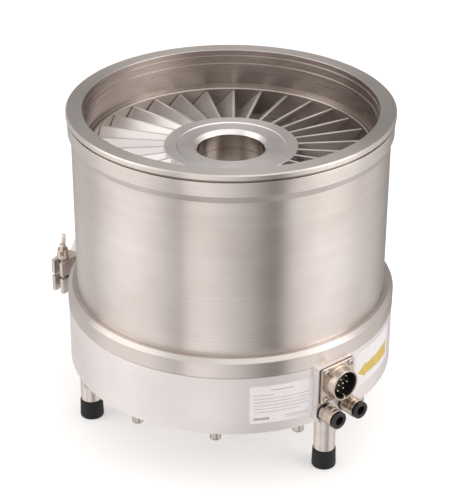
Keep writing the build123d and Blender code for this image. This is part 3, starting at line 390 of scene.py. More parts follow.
def finishGroup(tree, geometry, material):
    whole = addNode(tree, "GeometryNodeRealizeInstances", {0: geometry})
    painted = addNode(tree, "GeometryNodeSetMaterial", {"Geometry": whole, "Material": material})
    addNode(tree, "NodeGroupOutput", {0: painted})
    return tree


def growMesh(name, tree, values, start=None):
    # runs a tree on a mesh, or on nothing, with these values and gives the result as a plain mesh
    carrier = bpy.data.objects.new(name + "Carrier", start or bpy.data.meshes.new(name + "Carrier"))
    bpy.context.scene.collection.objects.link(carrier)
    modifier = carrier.modifiers.new(name, "NODES")
    modifier.node_group = tree
    for socket in tree.interface.items_tree:
        if socket.item_type == "SOCKET" and socket.in_out == "INPUT" and socket.name in values:
            modifier[socket.identifier] = values[socket.name]
    bpy.context.view_layer.update()
    grown = bpy.data.meshes.new_from_object(carrier.evaluated_get(bpy.context.evaluated_depsgraph_get()))
    carrier.modifiers.remove(modifier)
    bpy.data.objects.remove(carrier)
    grown.name = name
    return grown


def joinMeshes(name, meshes):
    joined = bpy.data.meshes.new(name)
    vertices, faces = [], []
    for mesh in meshes:
        start = len(vertices)
        vertices += [tuple(v.co) for v in mesh.vertices]
        faces += [[start + index for index in face.vertices] for face in mesh.polygons]
    joined.from_pydata(vertices, [], faces)
    return joined


def shadeByAngle(mesh, sharpFrom=35):
    mesh.polygons.foreach_set("use_smooth", [True] * len(mesh.polygons))
    mesh.set_sharp_from_angle(angle=math.radians(sharpFrom))
    return mesh


# casing: one turned shell from the inlet flange to the foot ring;
# all sizes are in mm, from the pump's axis and from the inlet face
casing = {
    "flange": 145.0, "rimDepth": 4.7, "rimBevel": 1.0,
    "clawGroove": 142.4, "clawGrooveDepth": 7.0,
    "collar": 144.3, "collarStep": 0.35, "collarStepDepth": 11.0, "collarDepth": 20.0,
    "tube": 141.2, "tubeStart": 26.5, "tubeEnd": 171.5, "undercut": 0.8, "undercutWidth": 2.0,
    "footRing": 150.0, "footBevel": (4.0, 3.2), "seamDepth": 189.5, "seamBevel": 0.7,
    "stackBore": 134.0, "stackShoulder": 62.0, "lip": 124.7, "lipDepth": 36.4, "lipBevel": 1.0,
    "throat": 128.6, "snapGroove": 130.2, "snapTop": 31.0, "snapBottom": 34.4,
    "screenLedge": 129.5, "screenDepth": 13.0, "inlet": 130.5, "inletWall": 5.5,
    "boreStart": 0.8,  # depth below which the bore's painted shade shows
    "grooveLip": 1.0, "slack": 0.1,  # how the faces with painted shade are told from their neighbours
    "facets": 288,
}


def makeCasing(s):
    wide, tall = s["footBevel"]
    waist, stepped = s["tube"] - s["undercut"], s["collar"] - s["collarStep"]
    corners = [
        (s["stackBore"], -s["seamDepth"]), (s["footRing"] - s["seamBevel"], -s["seamDepth"], 0.1),
        (s["footRing"], -s["seamDepth"] + s["seamBevel"], 0.2),
        (s["footRing"], -s["tubeEnd"] - tall, 0.6), (s["footRing"] - wide, -s["tubeEnd"], 0.5),
        (waist, -s["tubeEnd"]), (waist, -s["tubeEnd"] + s["undercutWidth"]),
        (s["tube"], -s["tubeEnd"] + s["undercutWidth"]), (s["tube"], -s["tubeStart"], 0.5),
        (stepped, -s["collarDepth"], 0.4), (stepped, -s["collarStepDepth"]),
        (s["collar"], -s["collarStepDepth"]), (s["collar"], -s["clawGrooveDepth"], 0.5),
        (s["clawGroove"], -s["clawGrooveDepth"]), (s["clawGroove"], -s["rimDepth"]),
        (s["flange"], -s["rimDepth"], 0.4), (s["flange"], -s["rimBevel"], 0.25),
        (s["flange"] - s["rimBevel"], 0, 0.2), (s["inlet"], 0, 0.5), (s["inlet"], -s["inletWall"]),
        (s["screenLedge"], -s["inletWall"]), (s["screenLedge"], -s["screenDepth"]),
        (s["throat"], -s["screenDepth"]), (s["throat"], -s["snapTop"]),
        (s["snapGroove"], -s["snapTop"]), (s["snapGroove"], -s["snapBottom"]),
        (s["throat"], -s["snapBottom"]), (s["throat"], -s["lipDepth"]),
        (s["lip"] + s["lipBevel"], -s["lipDepth"]),
        (s["lip"], -s["lipDepth"] - s["lipBevel"]), (s["lip"], -s["stackShoulder"]),
        (s["stackBore"], -s["stackShoulder"]),
    ]
    mesh = turnedMesh("turnedCasing", corners, s["facets"])
    grooveLow, grooveHigh = -s["clawGrooveDepth"] - s["slack"], -s["rimDepth"] + s["slack"]

    def shaded(radius, level):
        inGroove = radius < s["flange"] - s["grooveLip"] and grooveLow < level < grooveHigh
        return inGroove or (radius < s["inlet"] + s["slack"] and level < -s["boreStart"])

    # the claw groove and the bore take the darker steel: painted shade
    paintTwo(mesh, "casing_steel", "casing_painted_shade", shaded)
    showPiece("turnedCasing", mesh, "pump", "casing_steel", ["casing"])


makeCasing(casing)
print("casing turned")


# rotor: a turned hub and six stages of leaning blades
rotor = {
    "topDepth": 38.9, "hub": 59.7, "step": 48.5, "stepHeight": 0.6, "stepFlank": (0.3, -0.9),
    "recess": 30.3, "recessBevel": 3.6, "webDepth": 58.9, "webEnd": 74.9, "webHole": 16.5,
    "bell": 50.0, "drum": 110.0, "drumWall": 6.0, "drumWeb": 7.0, "drumTop": 163.9, "drumEnd": 228.0,
    "tip": 123.9, "bladeThickness": 1.9, "edgeRound": 0.1, "rootSink": 5.0,
    "firstAngle": -0.3, "skew": 0.04, "gap": 2.0,
    # height, count and lean of each stage, and the height of the stator below it
    "stages": [(20, 30, 45, 12), (14, 30, 40, 9), (10, 30, 33, 7),
               (8, 36, 28, 6), (7, 36, 24, 5), (6, 36, 22, 0)],
}


def bladeStageTree():
    tree, size = newGroup("bladeStage", {
        "Blades": "Int", "Height": "Float", "Lean": "Float", "Thickness": "Float", "Root Radius": "Float",
        "Tip Radius": "Float", "Top Level": "Float", "First Angle": "Float", "Edge Round": "Float",
        "Skew": "Float", "Material": "Material"})
    slope = addNode(tree, "ShaderNodeMath", {0: size["Lean"]}, operation="TANGENT")
    sweep = addNode(tree, "ShaderNodeMath", {0: size["Height"], 1: slope}, operation="DIVIDE")
    back = addNode(tree, "ShaderNodeMath", {0: sweep, 1: -1.0}, operation="MULTIPLY")
    rise = addNode(tree, "ShaderNodeMath", {0: size["Lean"]}, operation="SINE")
    width = addNode(tree, "ShaderNodeMath", {0: size["Thickness"], 1: rise}, operation="DIVIDE")
    outline = addNode(tree, "GeometryNodeCurvePrimitiveQuadrilateral", {
        "Width": width, "Height": size["Height"], "Offset": back}, mode="PARALLELOGRAM")
    broken = addNode(tree, "GeometryNodeFilletCurve", {
        "Curve": outline, "Radius": size["Edge Round"], "Count": 2}, mode="POLY")
    section = addNode(tree, "GeometryNodeFillCurve", {0: broken})
    # the flat section stands in the YZ plane, half way down the stage, then is drawn out along the blade
    halfHeight = addNode(tree, "ShaderNodeMath", {0: size["Height"], 1: 0.5}, operation="MULTIPLY")
    middle = addNode(tree, "ShaderNodeMath", {0: size["Top Level"], 1: halfHeight}, operation="SUBTRACT")
    halfSweep = addNode(tree, "ShaderNodeMath", {0: sweep, 1: 0.5}, operation="MULTIPLY")
    centre = addNode(tree, "ShaderNodeCombineXYZ", {0: size["Root Radius"], 1: halfSweep, 2: middle})
    stood = addNode(tree, "GeometryNodeTransform", {
        "Geometry": section, "Translation": centre, "Rotation": (math.pi / 2, 0, math.pi / 2)})
    length = addNode(tree, "ShaderNodeMath", {
        0: size["Tip Radius"], 1: size["Root Radius"]}, operation="SUBTRACT")
    along = addNode(tree, "ShaderNodeCombineXYZ", {0: length})
    drawn = addNode(tree, "GeometryNodeExtrudeMesh", {
        "Mesh": stood, "Offset": along, "Offset Scale": 1.0, "Individual": False})
    footFace = addNode(tree, "GeometryNodeFlipFaces", {0: stood})
    closed = addNode(tree, "GeometryNodeJoinGeometry", {0: drawn})
    tree.links.new(footFace.outputs[0], closed.inputs[0])
    welded = addNode(tree, "GeometryNodeMergeByDistance", {"Geometry": closed, "Distance": 0.001 * mm})
    # the tip follows the bore of the casing
    place = addNode(tree, "ShaderNodeSeparateXYZ", {0: addNode(tree, "GeometryNodeInputPosition")})
    outward, sideways, upward = place.outputs
    tipSquared = addNode(tree, "ShaderNodeMath", {0: size["Tip Radius"], 1: 2.0}, operation="POWER")
    sideSquared = addNode(tree, "ShaderNodeMath", {0: sideways, 1: 2.0}, operation="POWER")
    difference = addNode(tree, "ShaderNodeMath", {0: tipSquared, 1: sideSquared}, operation="SUBTRACT")
    bow = addNode(tree, "ShaderNodeMath", {0: difference}, operation="SQRT")
    nearTip = addNode(tree, "ShaderNodeMath", {0: size["Tip Radius"], 1: 1 * mm}, operation="SUBTRACT")
    atTip = addNode(tree, "ShaderNodeMath", {0: outward, 1: nearTip}, operation="GREATER_THAN")
    bowed = addNode(tree, "ShaderNodeCombineXYZ", {0: bow, 1: sideways, 2: upward})
    rounded = addNode(tree, "GeometryNodeSetPosition", {
        "Geometry": welded, "Selection": atTip, "Position": bowed})
    # the blade stands a little off the radius, more so towards its tip
    past = addNode(tree, "ShaderNodeMath", {0: outward, 1: size["Root Radius"]}, operation="SUBTRACT")
    drift = addNode(tree, "ShaderNodeMath", {0: past, 1: size["Skew"]}, operation="MULTIPLY")
    aside = addNode(tree, "ShaderNodeCombineXYZ", {1: drift})
    shaped = addNode(tree, "GeometryNodeSetPosition", {"Geometry": rounded, "Offset": aside})
    flat = addNode(tree, "GeometryNodeSetShadeSmooth", {"Geometry": shaped, "Shade Smooth": False})
    points = addNode(tree, "GeometryNodePoints", {"Count": size["Blades"]})
    step = addNode(tree, "ShaderNodeMath", {0: 2 * math.pi, 1: size["Blades"]}, operation="DIVIDE")
    index = addNode(tree, "GeometryNodeInputIndex")
    around = addNode(tree, "ShaderNodeMath", {0: index, 1: step}, operation="MULTIPLY")
    turn = addNode(tree, "ShaderNodeMath", {0: size["First Angle"], 1: around}, operation="ADD")
    turning = addNode(tree, "ShaderNodeCombineXYZ", {2: turn})
    copies = addNode(tree, "GeometryNodeInstanceOnPoints", {
        "Points": points, "Instance": flat, "Rotation": turning})
    return finishGroup(tree, copies, size["Material"])


def makeRotor(s):
    tree = bladeStageTree()
    stages = []
    level = s["topDepth"]
    for height, count, lean, statorHeight in s["stages"]:
        stages.append(growMesh("bladeStage", tree, {
            "Blades": count, "Height": height * mm, "Lean": math.radians(lean),
            "Thickness": s["bladeThickness"] * mm, "Root Radius": (s["hub"] - s["rootSink"]) * mm,
            "Tip Radius": s["tip"] * mm, "Top Level": -level * mm,
            "First Angle": math.radians(s["firstAngle"]), "Edge Round": s["edgeRound"] * mm,
            "Skew": s["skew"], "Material": finishes["rotor_aluminium"]}))
        level += height + statorHeight + 2 * s["gap"]
    blades = joinMeshes("rotorBlades", stages)
    showPiece("rotorBlades", blades, "rotor", "rotor_aluminium", ["rotor"])
    print("blades:", len(blades.polygons), "faces")
    top = -s["topDepth"]
    webUnder, drumInside = -s["drumTop"] - s["drumWeb"], s["drum"] - s["drumWall"]
    flankFoot, flankTop = s["stepFlank"]
    corners = [
        (s["webHole"], -s["webEnd"]), (s["bell"], -s["webEnd"]), (s["bell"], webUnder),
        (drumInside, webUnder), (drumInside, -s["drumEnd"]),
        (s["drum"], -s["drumEnd"]), (s["drum"], -s["drumTop"]), (s["hub"], -s["drumTop"]),
        (s["hub"], top + s["stepHeight"], 0.5), (s["step"] + flankFoot, top + s["stepHeight"], 0.3),
        (s["step"] + flankTop, top, 0.8),
        (s["recess"] + s["recessBevel"], top, 0.8), (s["recess"], top - s["recessBevel"], 0.8),
        (s["recess"], -s["webDepth"]), (s["webHole"], -s["webDepth"]),
    ]
    mesh = turnedMesh("rotorHub", corners)
    # the recess's inner wall takes the darker aluminium: painted shade
    paintTwo(mesh, "rotor_facing", "rotor_painted_shade",
             lambda radius, level: radius < s["recess"] and level < top - s["recessBevel"])
    showPiece("rotorHub", mesh, "rotor", "rotor_aluminium", ["rotor"])


makeRotor(rotor)
print("rotor ready")


# the legs' rubber feet, each a cap over the end of its leg
feet = {
    "circle": 133.0, "first": 30, "count": 3, "facets": 64,
    # (radius, level[, edge round]) of one foot
    "profile": [(0, -310.0), (11.1, -310.0, 1.2), (11.1, -307.5, 1.5), (10.6, -292.0, 1.0),
                (10.1, -291.0, 0.5), (9.8, -291.0, 0.1), (9.8, -304.0, 0.1), (0, -304.0)],
}


def makeFeet(s):
    for index in range(s["count"]):
        angle = math.radians(s["first"] + index * 360 / s["count"])
        along, across = s["circle"] * math.cos(angle) * mm, s["circle"] * math.sin(angle) * mm
        name = f"rubberFoot{index + 1}"
        foot = turnedMesh(name, s["profile"], s["facets"], Matrix.Translation((along, across, 0)))
        showPiece(name, foot, "pump", "foot_rubber", [f"rubber_foot_{index + 1}"])


makeFeet(feet)
print("feet ready")


def ringMesh(name, rings, place=Matrix()):
    # rings of equally many points in mm, from the outer foot up and inwards; both ends are closed
    count = len(rings[0])
    vertices = [place @ (Vector(point) * mm) for ring in rings for point in ring]
    faces = []
    for low in range(0, (len(rings) - 1) * count, count):
        for k in range(count):
            following = (k + 1) % count
            faces.append([low + k, low + following, low + count + following, low + count + k])
    faces.append(list(range(count))[::-1])
    faces.append([(len(rings) - 1) * count + k for k in range(count)])
    mesh = bpy.data.meshes.new(name)
    mesh.from_pydata(vertices, [], faces)
    return shadeByAngle(mesh)


def outlineRing(level, radiusAt, count=48):
    # a ring whose radius is a number or is worked out from the angle
    ring = []
    for k in range(count):
        angle = 2 * math.pi * k / count
        radius = radiusAt(angle) if callable(radiusAt) else radiusAt
        ring.append((radius * math.cos(angle), radius * math.sin(angle), level))
    return ring


def hexagon(across):
    return lambda angle: across / 2 / math.cos((angle + math.pi / 6) % (math.pi / 3) - math.pi / 6)


def crossSlot(length, width):
    # the least sine of 0.05 only keeps the width's share finite along an arm
    def radiusAt(angle):
        away = abs((angle + math.pi / 4) % (math.pi / 2) - math.pi / 4)
        return min(length / 2 / math.cos(away), width / 2 / max(math.sin(away), 0.05))
    return radiusAt


def wrapMesh(name, columns, inner, outer):
    # a thin sheet laid on the round wall: columns of (angle in degrees, low level, high level)
    vertices, faces = [], []
    for angle, low, high in columns:
        c, n = math.cos(math.radians(angle)), math.sin(math.radians(angle))
        for radius, level in ((inner, low), (outer, low), (outer, high), (inner, high)):
            vertices.append((radius * c * mm, radius * n * mm, level * mm))
    for k in range(len(columns) - 1):
        for side in range(4):
            a, b = 4 * k + side, 4 * k + (side + 1) % 4
            faces.append([a, a + 4, b + 4, b])
    last = 4 * (len(columns) - 1)
    faces += [[0, 1, 2, 3], [last + 3, last + 2, last + 1, last]]
    mesh = bpy.data.meshes.new(name)
    mesh.from_pydata(vertices, [], faces)
    return mesh


# labels on the base: a ruled plate with nothing written on it, and the arrow of the shaft's turning
labels = {
    "wall": 149.7, "sink": 0.05, "film": 0.18, "ink": 0.04, "corner": 1.5,
    "plate": (236.5, 258.7, -236.0, -198.5),  # first and last angle, low and high level
    # (from, to, level, thickness) of each ruled line, in shares of the plate
    "rules": [(0.32, 0.68, 0.88, 0.020), (0.06, 0.36, 0.76, 0.014), (0.06, 0.94, 0.66, 0.012),
              (0.06, 0.94, 0.57, 0.012), (0.06, 0.90, 0.48, 0.012), (0.06, 0.94, 0.39, 0.012),
              (0.06, 0.80, 0.30, 0.012), (0.06, 0.30, 0.12, 0.06), (0.55, 0.94, 0.14, 0.016),
              (0.55, 0.94, 0.09, 0.010)],
    "ruleParts": 16,
    "arrowFilm": (277.6, 302.5, -230.0, -195.5),
    # angle and half width along the arrow, from its tip
    "arrow": [(279.2, 0.2), (283.6, 7.2), (283.65, 5.0), (292.0, 6.1), (300.6, 7.4)],
    "arrowLevel": -216.5,
    "arrowParts": 12,
}


def roundedColumns(start, end, low, high, corner, radius, count=40):
    # columns of a sheet with round corners, closer together towards its ends
    columns = []
    width = math.radians(end - start) * radius
    for k in range(count + 1):
        share = 0.5 - 0.5 * math.cos(math.pi * k / count)
        edge = min(share, 1 - share) * width
        cut = corner - math.sqrt(max(corner ** 2 - (corner - edge) ** 2, 0)) if edge < corner else 0
        columns.append((start + (end - start) * share, low + cut, high - cut))
    return columns


def makeLabels(s):
    wall, film = s["wall"], s["wall"] + s["film"]
    inkFoot, inkTop = film - s["sink"], film + s["ink"]
    for name, sheet in (("namePlate", s["plate"]), ("arrowLabel", s["arrowFilm"])):
        columns = roundedColumns(*sheet, s["corner"], wall)
        mesh = wrapMesh(name, columns, wall - s["sink"], film)
        showPiece(name, mesh, "pump", "base_aluminium", finish="label_film")
    start, end, low, high = s["plate"]
    bars = []
    for left, right, level, thick in s["rules"]:
        middle, half = low + (high - low) * level, (high - low) * thick / 2
        shares = [left + (right - left) * k / s["ruleParts"] for k in range(s["ruleParts"] + 1)]
        columns = [(start + (end - start) * share, middle - half, middle + half) for share in shares]
        bars.append(wrapMesh("rule", columns, inkFoot, inkTop))
    showPiece("plateRules", joinMeshes("plateRules", bars), "pump", "base_aluminium", finish="label_ink")
    shape = []
    for (a, wide), (b, narrow) in zip(s["arrow"], s["arrow"][1:]):
        parts = s["arrowParts"] if b - a > 1 else 1
        shape += [(a + (b - a) * k / parts, wide + (narrow - wide) * k / parts) for k in range(parts)]
    shape.append(s["arrow"][-1])
    level = s["arrowLevel"]
    columns = [(a, level - half, level + half) for a, half in shape]
    arrow = wrapMesh("turningArrow", columns, inkFoot, inkTop)
    showPiece("turningArrow", arrow, "pump", "base_aluminium", finish="arrow_ink")


makeLabels(labels)
print("labels ready")


# service side: receptacle and coolant fittings on the milled pad;
# each profile is (radius, distance out of the pad[, edge round]) in mm
service = {
    "centre": -7.4, "padFace": 152.4, "level": -207.5,
    "plate": (38.0, 35.0), "plateCorner": 2.0, "plateFront": 2.7, "plateBevel": 0.3,
    # a near-black sheet under the plate, proud of its edge, is the plate's painted shadow: its thickness,
    # how far it stands out and its bevel
    "shadowSheet": 0.8, "shadowSheetProud": 0.25, "shadowSheetBevel": 0.1,
    "barrelProfile": [(12.9, 1.2), (15.4, 1.2, 0.1), (15.4, 4.0, 0.3), (14.5, 4.3, 0.1),
                      (14.5, 12.4, 0.5), (12.9, 12.4, 0.25)],
    "insertProfile": [(0, -8), (11.9, -8), (11.9, 2.7), (12.87, 2.72, 0.01), (12.87, 11.3, 0.1),
                      (12.2, 11.3, 0.1), (12.2, 3.0, 0.3), (0, 3.0)],
    "key": (1.7, -13.2, -10.1, 1.7, 11.6),  # width, low and high edge, start and end in the socket
    "screwPlaces": (13.9, 13.9), "screwTurns": (0.4, 0.9),  # turn of a slot by side and by row, in radians
    "screwHead": 2.9, "screwRise": 1.7, "screwSink": 0.4,
    "screwDome": [(0.45, 1.0), (0.85, 0.86), (1.0, 0.66)],  # shares of the rise and of the head
    "screwSlot": (3.4, 0.9, 1.1),  # length, width and depth
    "fittingSpacing": 25.5, "fittingLevel": -235.0,
    "fittingProfile": [(3.0, -11), (6.5, -11), (6.5, 1.2), (8.1, 1.2, 0.2), (8.1, 4.6, 0.3),
                       (7.3, 5.0, 0.1), (7.3, 5.6, 0.1), (8.3, 6.0, 0.3), (8.3, 11.2, 0.2),
                       (7.9, 11.5, 0.1), (7.9, 12.1, 0.1), (8.45, 12.4, 0.2), (8.45, 16.2, 0.5),
                       (6.4, 16.2, 0.2), (6.4, 11.5), (4.08, 11.5), (4.08, 6.6), (3.0, 6.6)],
    "collarProfile": [(4.3, 13.2), (6.2, 13.2), (6.2, 17.7), (7.9, 17.7, 0.2), (7.9, 19.9, 0.6),
                      (6.3, 20.1, 0.2), (6.2, 19.7, 0.1), (5.6, 19.7, 0.1), (5.5, 20.0, 0.3),
                      (4.6, 20.0, 0.4), (4.3, 19.4, 0.3)],
    "facets": 96,
}


def facingOut(s, x, level, depth=0.0):
    # a piece turned round Z is laid so that its axis points out of the pad here
    place = Matrix.Translation((x * mm, -(s["padFace"] + depth) * mm, level * mm))
    return place @ Matrix.Rotation(math.pi / 2, 4, "X")


def roundedPlate(width, height, corner, low, high, bevel, place, steps=8):
    rings = []
    for inset, level in ((0, low), (0, high - bevel), (bevel, high)):
        ring = []
        for quarter, (right, up) in enumerate(((1, 1), (-1, 1), (-1, -1), (1, -1))):
            for k in range(steps + 1):
                angle = (quarter + k / steps) * math.pi / 2
                ring.append((right * (width / 2 - corner) + (corner - inset) * math.cos(angle),
                             up * (height / 2 - corner) + (corner - inset) * math.sin(angle), level))
        rings.append(ring)
    return ringMesh("plate", rings, place)


def makeReceptacle(s):
    middle = facingOut(s, s["centre"], s["level"])
    width, height = s["plate"]
    proud = s["shadowSheetProud"] * 2
    corner = s["plateCorner"]
    # the near-black sheet under the plate's edge stands in for the plate's shadow: painted shadow
    shadowSheet = roundedPlate(width + proud, height + proud, corner, 0, s["shadowSheet"], s["shadowSheetBevel"], middle)
    showPiece("receptacleShadowSheet", shadowSheet, "pump", "seal", finish="pad_painted_shadow")
    keyWidth, low, high, start, end = s["key"]
    outline = [(-keyWidth / 2, low), (keyWidth / 2, low), (keyWidth / 2, high), (-keyWidth / 2, high)]
    shell = shadeByAngle(joinMeshes("receptacleShell", [
        roundedPlate(width, height, corner, s["shadowSheet"], s["plateFront"], s["plateBevel"], middle),
        turnedMesh("barrel", s["barrelProfile"], s["facets"], middle),
        ringMesh("key", [[(x, y, level) for x, y in outline] for level in (start, end)], middle)]))
    showPiece("receptacleShell", shell, "pump", "nickel_plate", ["receptacle_shell"], "nickel_lines")
    insert = turnedMesh("receptacleInsert", s["insertProfile"], s["facets"], middle)
    showPiece("receptacleInsert", insert, "pump", "insert_plastic", ["receptacle_insert"])
    head, rise = s["screwHead"], s["screwRise"]
    length, slotWidth, slotDepth = s["screwSlot"]
    slot = crossSlot(length, slotWidth)
    rings = [outlineRing(-s["screwSink"], head)]
    rings += [outlineRing(rise * up, head * out) for up, out in s["screwDome"]]
    rings += [outlineRing(rise, slot), outlineRing(rise - slotDepth, slot)]
    aside, above = s["screwPlaces"]
    bySide, byRow = s["screwTurns"]
    screws = []
    for side in (-1, 1):
        for up in (-1, 1):
            place = facingOut(s, s["centre"] + side * aside, s["level"] + up * above, s["plateFront"])
            turn = Matrix.Rotation(bySide * side + byRow * up, 4, "Z")
            screws.append(ringMesh("screw", rings, place @ turn))
    screws = shadeByAngle(joinMeshes("receptacleCrossScrews", screws))
    showPiece("receptacleCrossScrews", screws, "pump", "screw_steel", ["receptacle_screws"])


def makeFittings(s):
    for side, name in ((-1, "Left"), (1, "Right")):
        place = facingOut(s, s["centre"] + side * s["fittingSpacing"] / 2, s["fittingLevel"])
        fitting, collar = "coolant_fitting_" + name.lower(), "release_collar_" + name.lower()
        mesh = turnedMesh("coolantFitting" + name, s["fittingProfile"], s["facets"], place)
        showPiece("coolantFitting" + name, mesh, "pump", "nickel_plate", [fitting], "nickel_lines")
        mesh = turnedMesh("releaseCollar" + name, s["collarProfile"], s["facets"], place)
        showPiece("releaseCollar" + name, mesh, collar, "collar_plastic", [collar])


makeReceptacle(service)
makeFittings(service)
print("service side ready")


# cap screws under the base, set round their circles
capScrews = {
    "casing": {"circle": 142.0, "count": 12, "first": 15.0, "skipped": 3, "seat": -249.2, "head": 5.0,
               "rise": 6.0, "hexagon": 5.0, "socket": 3.0, "knurls": 24, "shank": 3.0, "grip": 3.4},
    "cover": {"circle": 51.0, "count": 8, "first": 22.5, "skipped": -1, "seat": -251.0, "head": 4.25,
              "rise": 5.0, "hexagon": 4.0, "socket": 2.5, "knurls": 20, "shank": 2.5, "grip": 5.2},
}


capScrewForm = {  # what all the cap screws share: depths in mm, and radii as shares of the head's
    "knurl": 0.012, "underRadius": 0.97, "underBevel": 0.25, "shankFoot": 0.05,
    "rimEnd": 0.7, "edgeEnd": 0.35, "edgeRadius": 0.95, "topRadius": 0.86,
    "socketLead": 1.06, "leadDepth": 0.25, "drillDepth": 0.7, "drillRadius": 0.4,
}


def capScrewMesh(s, f):
    # head down, its bearing face at level 0, with a knurled rim and a hexagon socket
    head, end = s["head"], -s["rise"]
    rim = lambda angle: head * (1 - f["knurl"] * (1 + math.cos(s["knurls"] * 2 * angle)))
    socket = hexagon(s["hexagon"])
    floor = end + s["socket"]
    levels = [
        (s["grip"], s["shank"]), (f["shankFoot"], s["shank"]), (0.0, head * f["underRadius"]),
        (-f["underBevel"], rim), (end + f["rimEnd"], rim), (end + f["edgeEnd"], head * f["edgeRadius"]),
        (end, head * f["topRadius"]), (end, lambda a: socket(a) * f["socketLead"]),
        (end + f["leadDepth"], socket), (floor, socket), (floor + f["drillDepth"], f["drillRadius"]),
    ]
    mesh = ringMesh("capScrew", [outlineRing(level, radius, s["knurls"] * 4) for level, radius in levels])
    mesh.flip_normals()
    return mesh


def screwCircleTree():
    tree, size = newGroup("screwCircle", {
        "Screw": "Geometry", "Count": "Int", "Circle": "Float", "First Angle": "Float", "Level": "Float",
        "Skipped": "Int", "Material": "Material"})
    index = addNode(tree, "GeometryNodeInputIndex")
    step = addNode(tree, "ShaderNodeMath", {0: 2 * math.pi, 1: size["Count"]}, operation="DIVIDE")
    around = addNode(tree, "ShaderNodeMath", {0: index, 1: step}, operation="MULTIPLY")
    angle = addNode(tree, "ShaderNodeMath", {0: size["First Angle"], 1: around}, operation="ADD")
    cosine = addNode(tree, "ShaderNodeMath", {0: angle}, operation="COSINE")
    sine = addNode(tree, "ShaderNodeMath", {0: angle}, operation="SINE")
    along = addNode(tree, "ShaderNodeMath", {0: size["Circle"], 1: cosine}, operation="MULTIPLY")
    across = addNode(tree, "ShaderNodeMath", {0: size["Circle"], 1: sine}, operation="MULTIPLY")
    spot = addNode(tree, "ShaderNodeCombineXYZ", {0: along, 1: across, 2: size["Level"]})
    points = addNode(tree, "GeometryNodePoints", {"Count": size["Count"], "Position": spot})
    wanted = addNode(tree, "FunctionNodeCompare", {2: index, 3: size["Skipped"]},
                     data_type="INT", operation="NOT_EQUAL")
    # each screw stops 1.7 radians on from the one before
    stopped = addNode(tree, "ShaderNodeMath", {0: index, 1: 1.7}, operation="MULTIPLY")
    turning = addNode(tree, "ShaderNodeCombineXYZ", {2: stopped})
    copies = addNode(tree, "GeometryNodeInstanceOnPoints", {
        "Points": points, "Instance": size["Screw"], "Selection": wanted, "Rotation": turning})
    return finishGroup(tree, copies, size["Material"])


def makeCapScrews(every):
    tree = screwCircleTree()
    for name, s in every.items():
        title = name + "CapScrews"
        grown = growMesh(title, tree, {
            "Count": s["count"], "Circle": s["circle"] * mm, "First Angle": math.radians(s["first"]),
            "Level": s["seat"] * mm, "Skipped": s["skipped"],
            "Material": finishes["screw_steel"]}, capScrewMesh(s, capScrewForm))
        showPiece(title, grown, "pump", "screw_steel", [name + "_screws"])


makeCapScrews(capScrews)
print("cap screws ready")


studio = {
    "floorColour": "#e8e6e4",
    "floorRoughness": 0.9,
    "floorSize": 40.0,
    "floorGlow": 0.4,
    "roomLevel": 1.0,  # of the surround, as matt surfaces are lit by it
    "shineLevel": 1.2,  # of the surround, as metal shows it
    "underFrom": -0.72,  # sine of the depression where the pump's own shadow begins on the floor
    "underFull": -0.94,  # and where it is full
    "underTint": (0.36, 0.3456, 0.3348, 1),
    "overheadFrom": 0.5,  # sine of the elevation where the overhead silk begins and where it is full
    "overheadFull": 0.8,
    "overheadLevel": 0.88,
    "overheadTilt": 0.46,  # how much brighter the silk is towards overheadBearing
    "overheadBearing": 300,
    # softboxes, cards and dark flags that stand round the pump: direction in degrees and level
    "surround": [(20, 0.36), (50, 0.32), (70, 0.5), (87, 0.72), (114, 0.7), (130, 0.98), (142, 1.16),
                 (160, 1.14), (175, 1.02), (189, 0.72), (196, 0.58), (198, 1.14), (212, 1.2), (235, 0.76),
                 (250, 0.5), (256, 0.3), (268, 0.24), (271, 0.8), (285, 1.12), (300, 1.04), (325, 0.9),
                 (340, 0.86), (355, 0.76)],
    "surroundFull": 1.2,  # the level drawn as white
    "surroundTint": (1.0, 0.985, 0.97),
    # azimuth, elevation and distance, then width, height and watts
    "softboxes": {"keySoftbox": (-125, 35, 1.6, 1.1, 1.5, 5), "fillSoftbox": (32, 20, 1.7, 1.0, 1.6, 8),
                  "topSoftbox": (140, 75, 1.8, 1.6, 1.6, 4)},
}


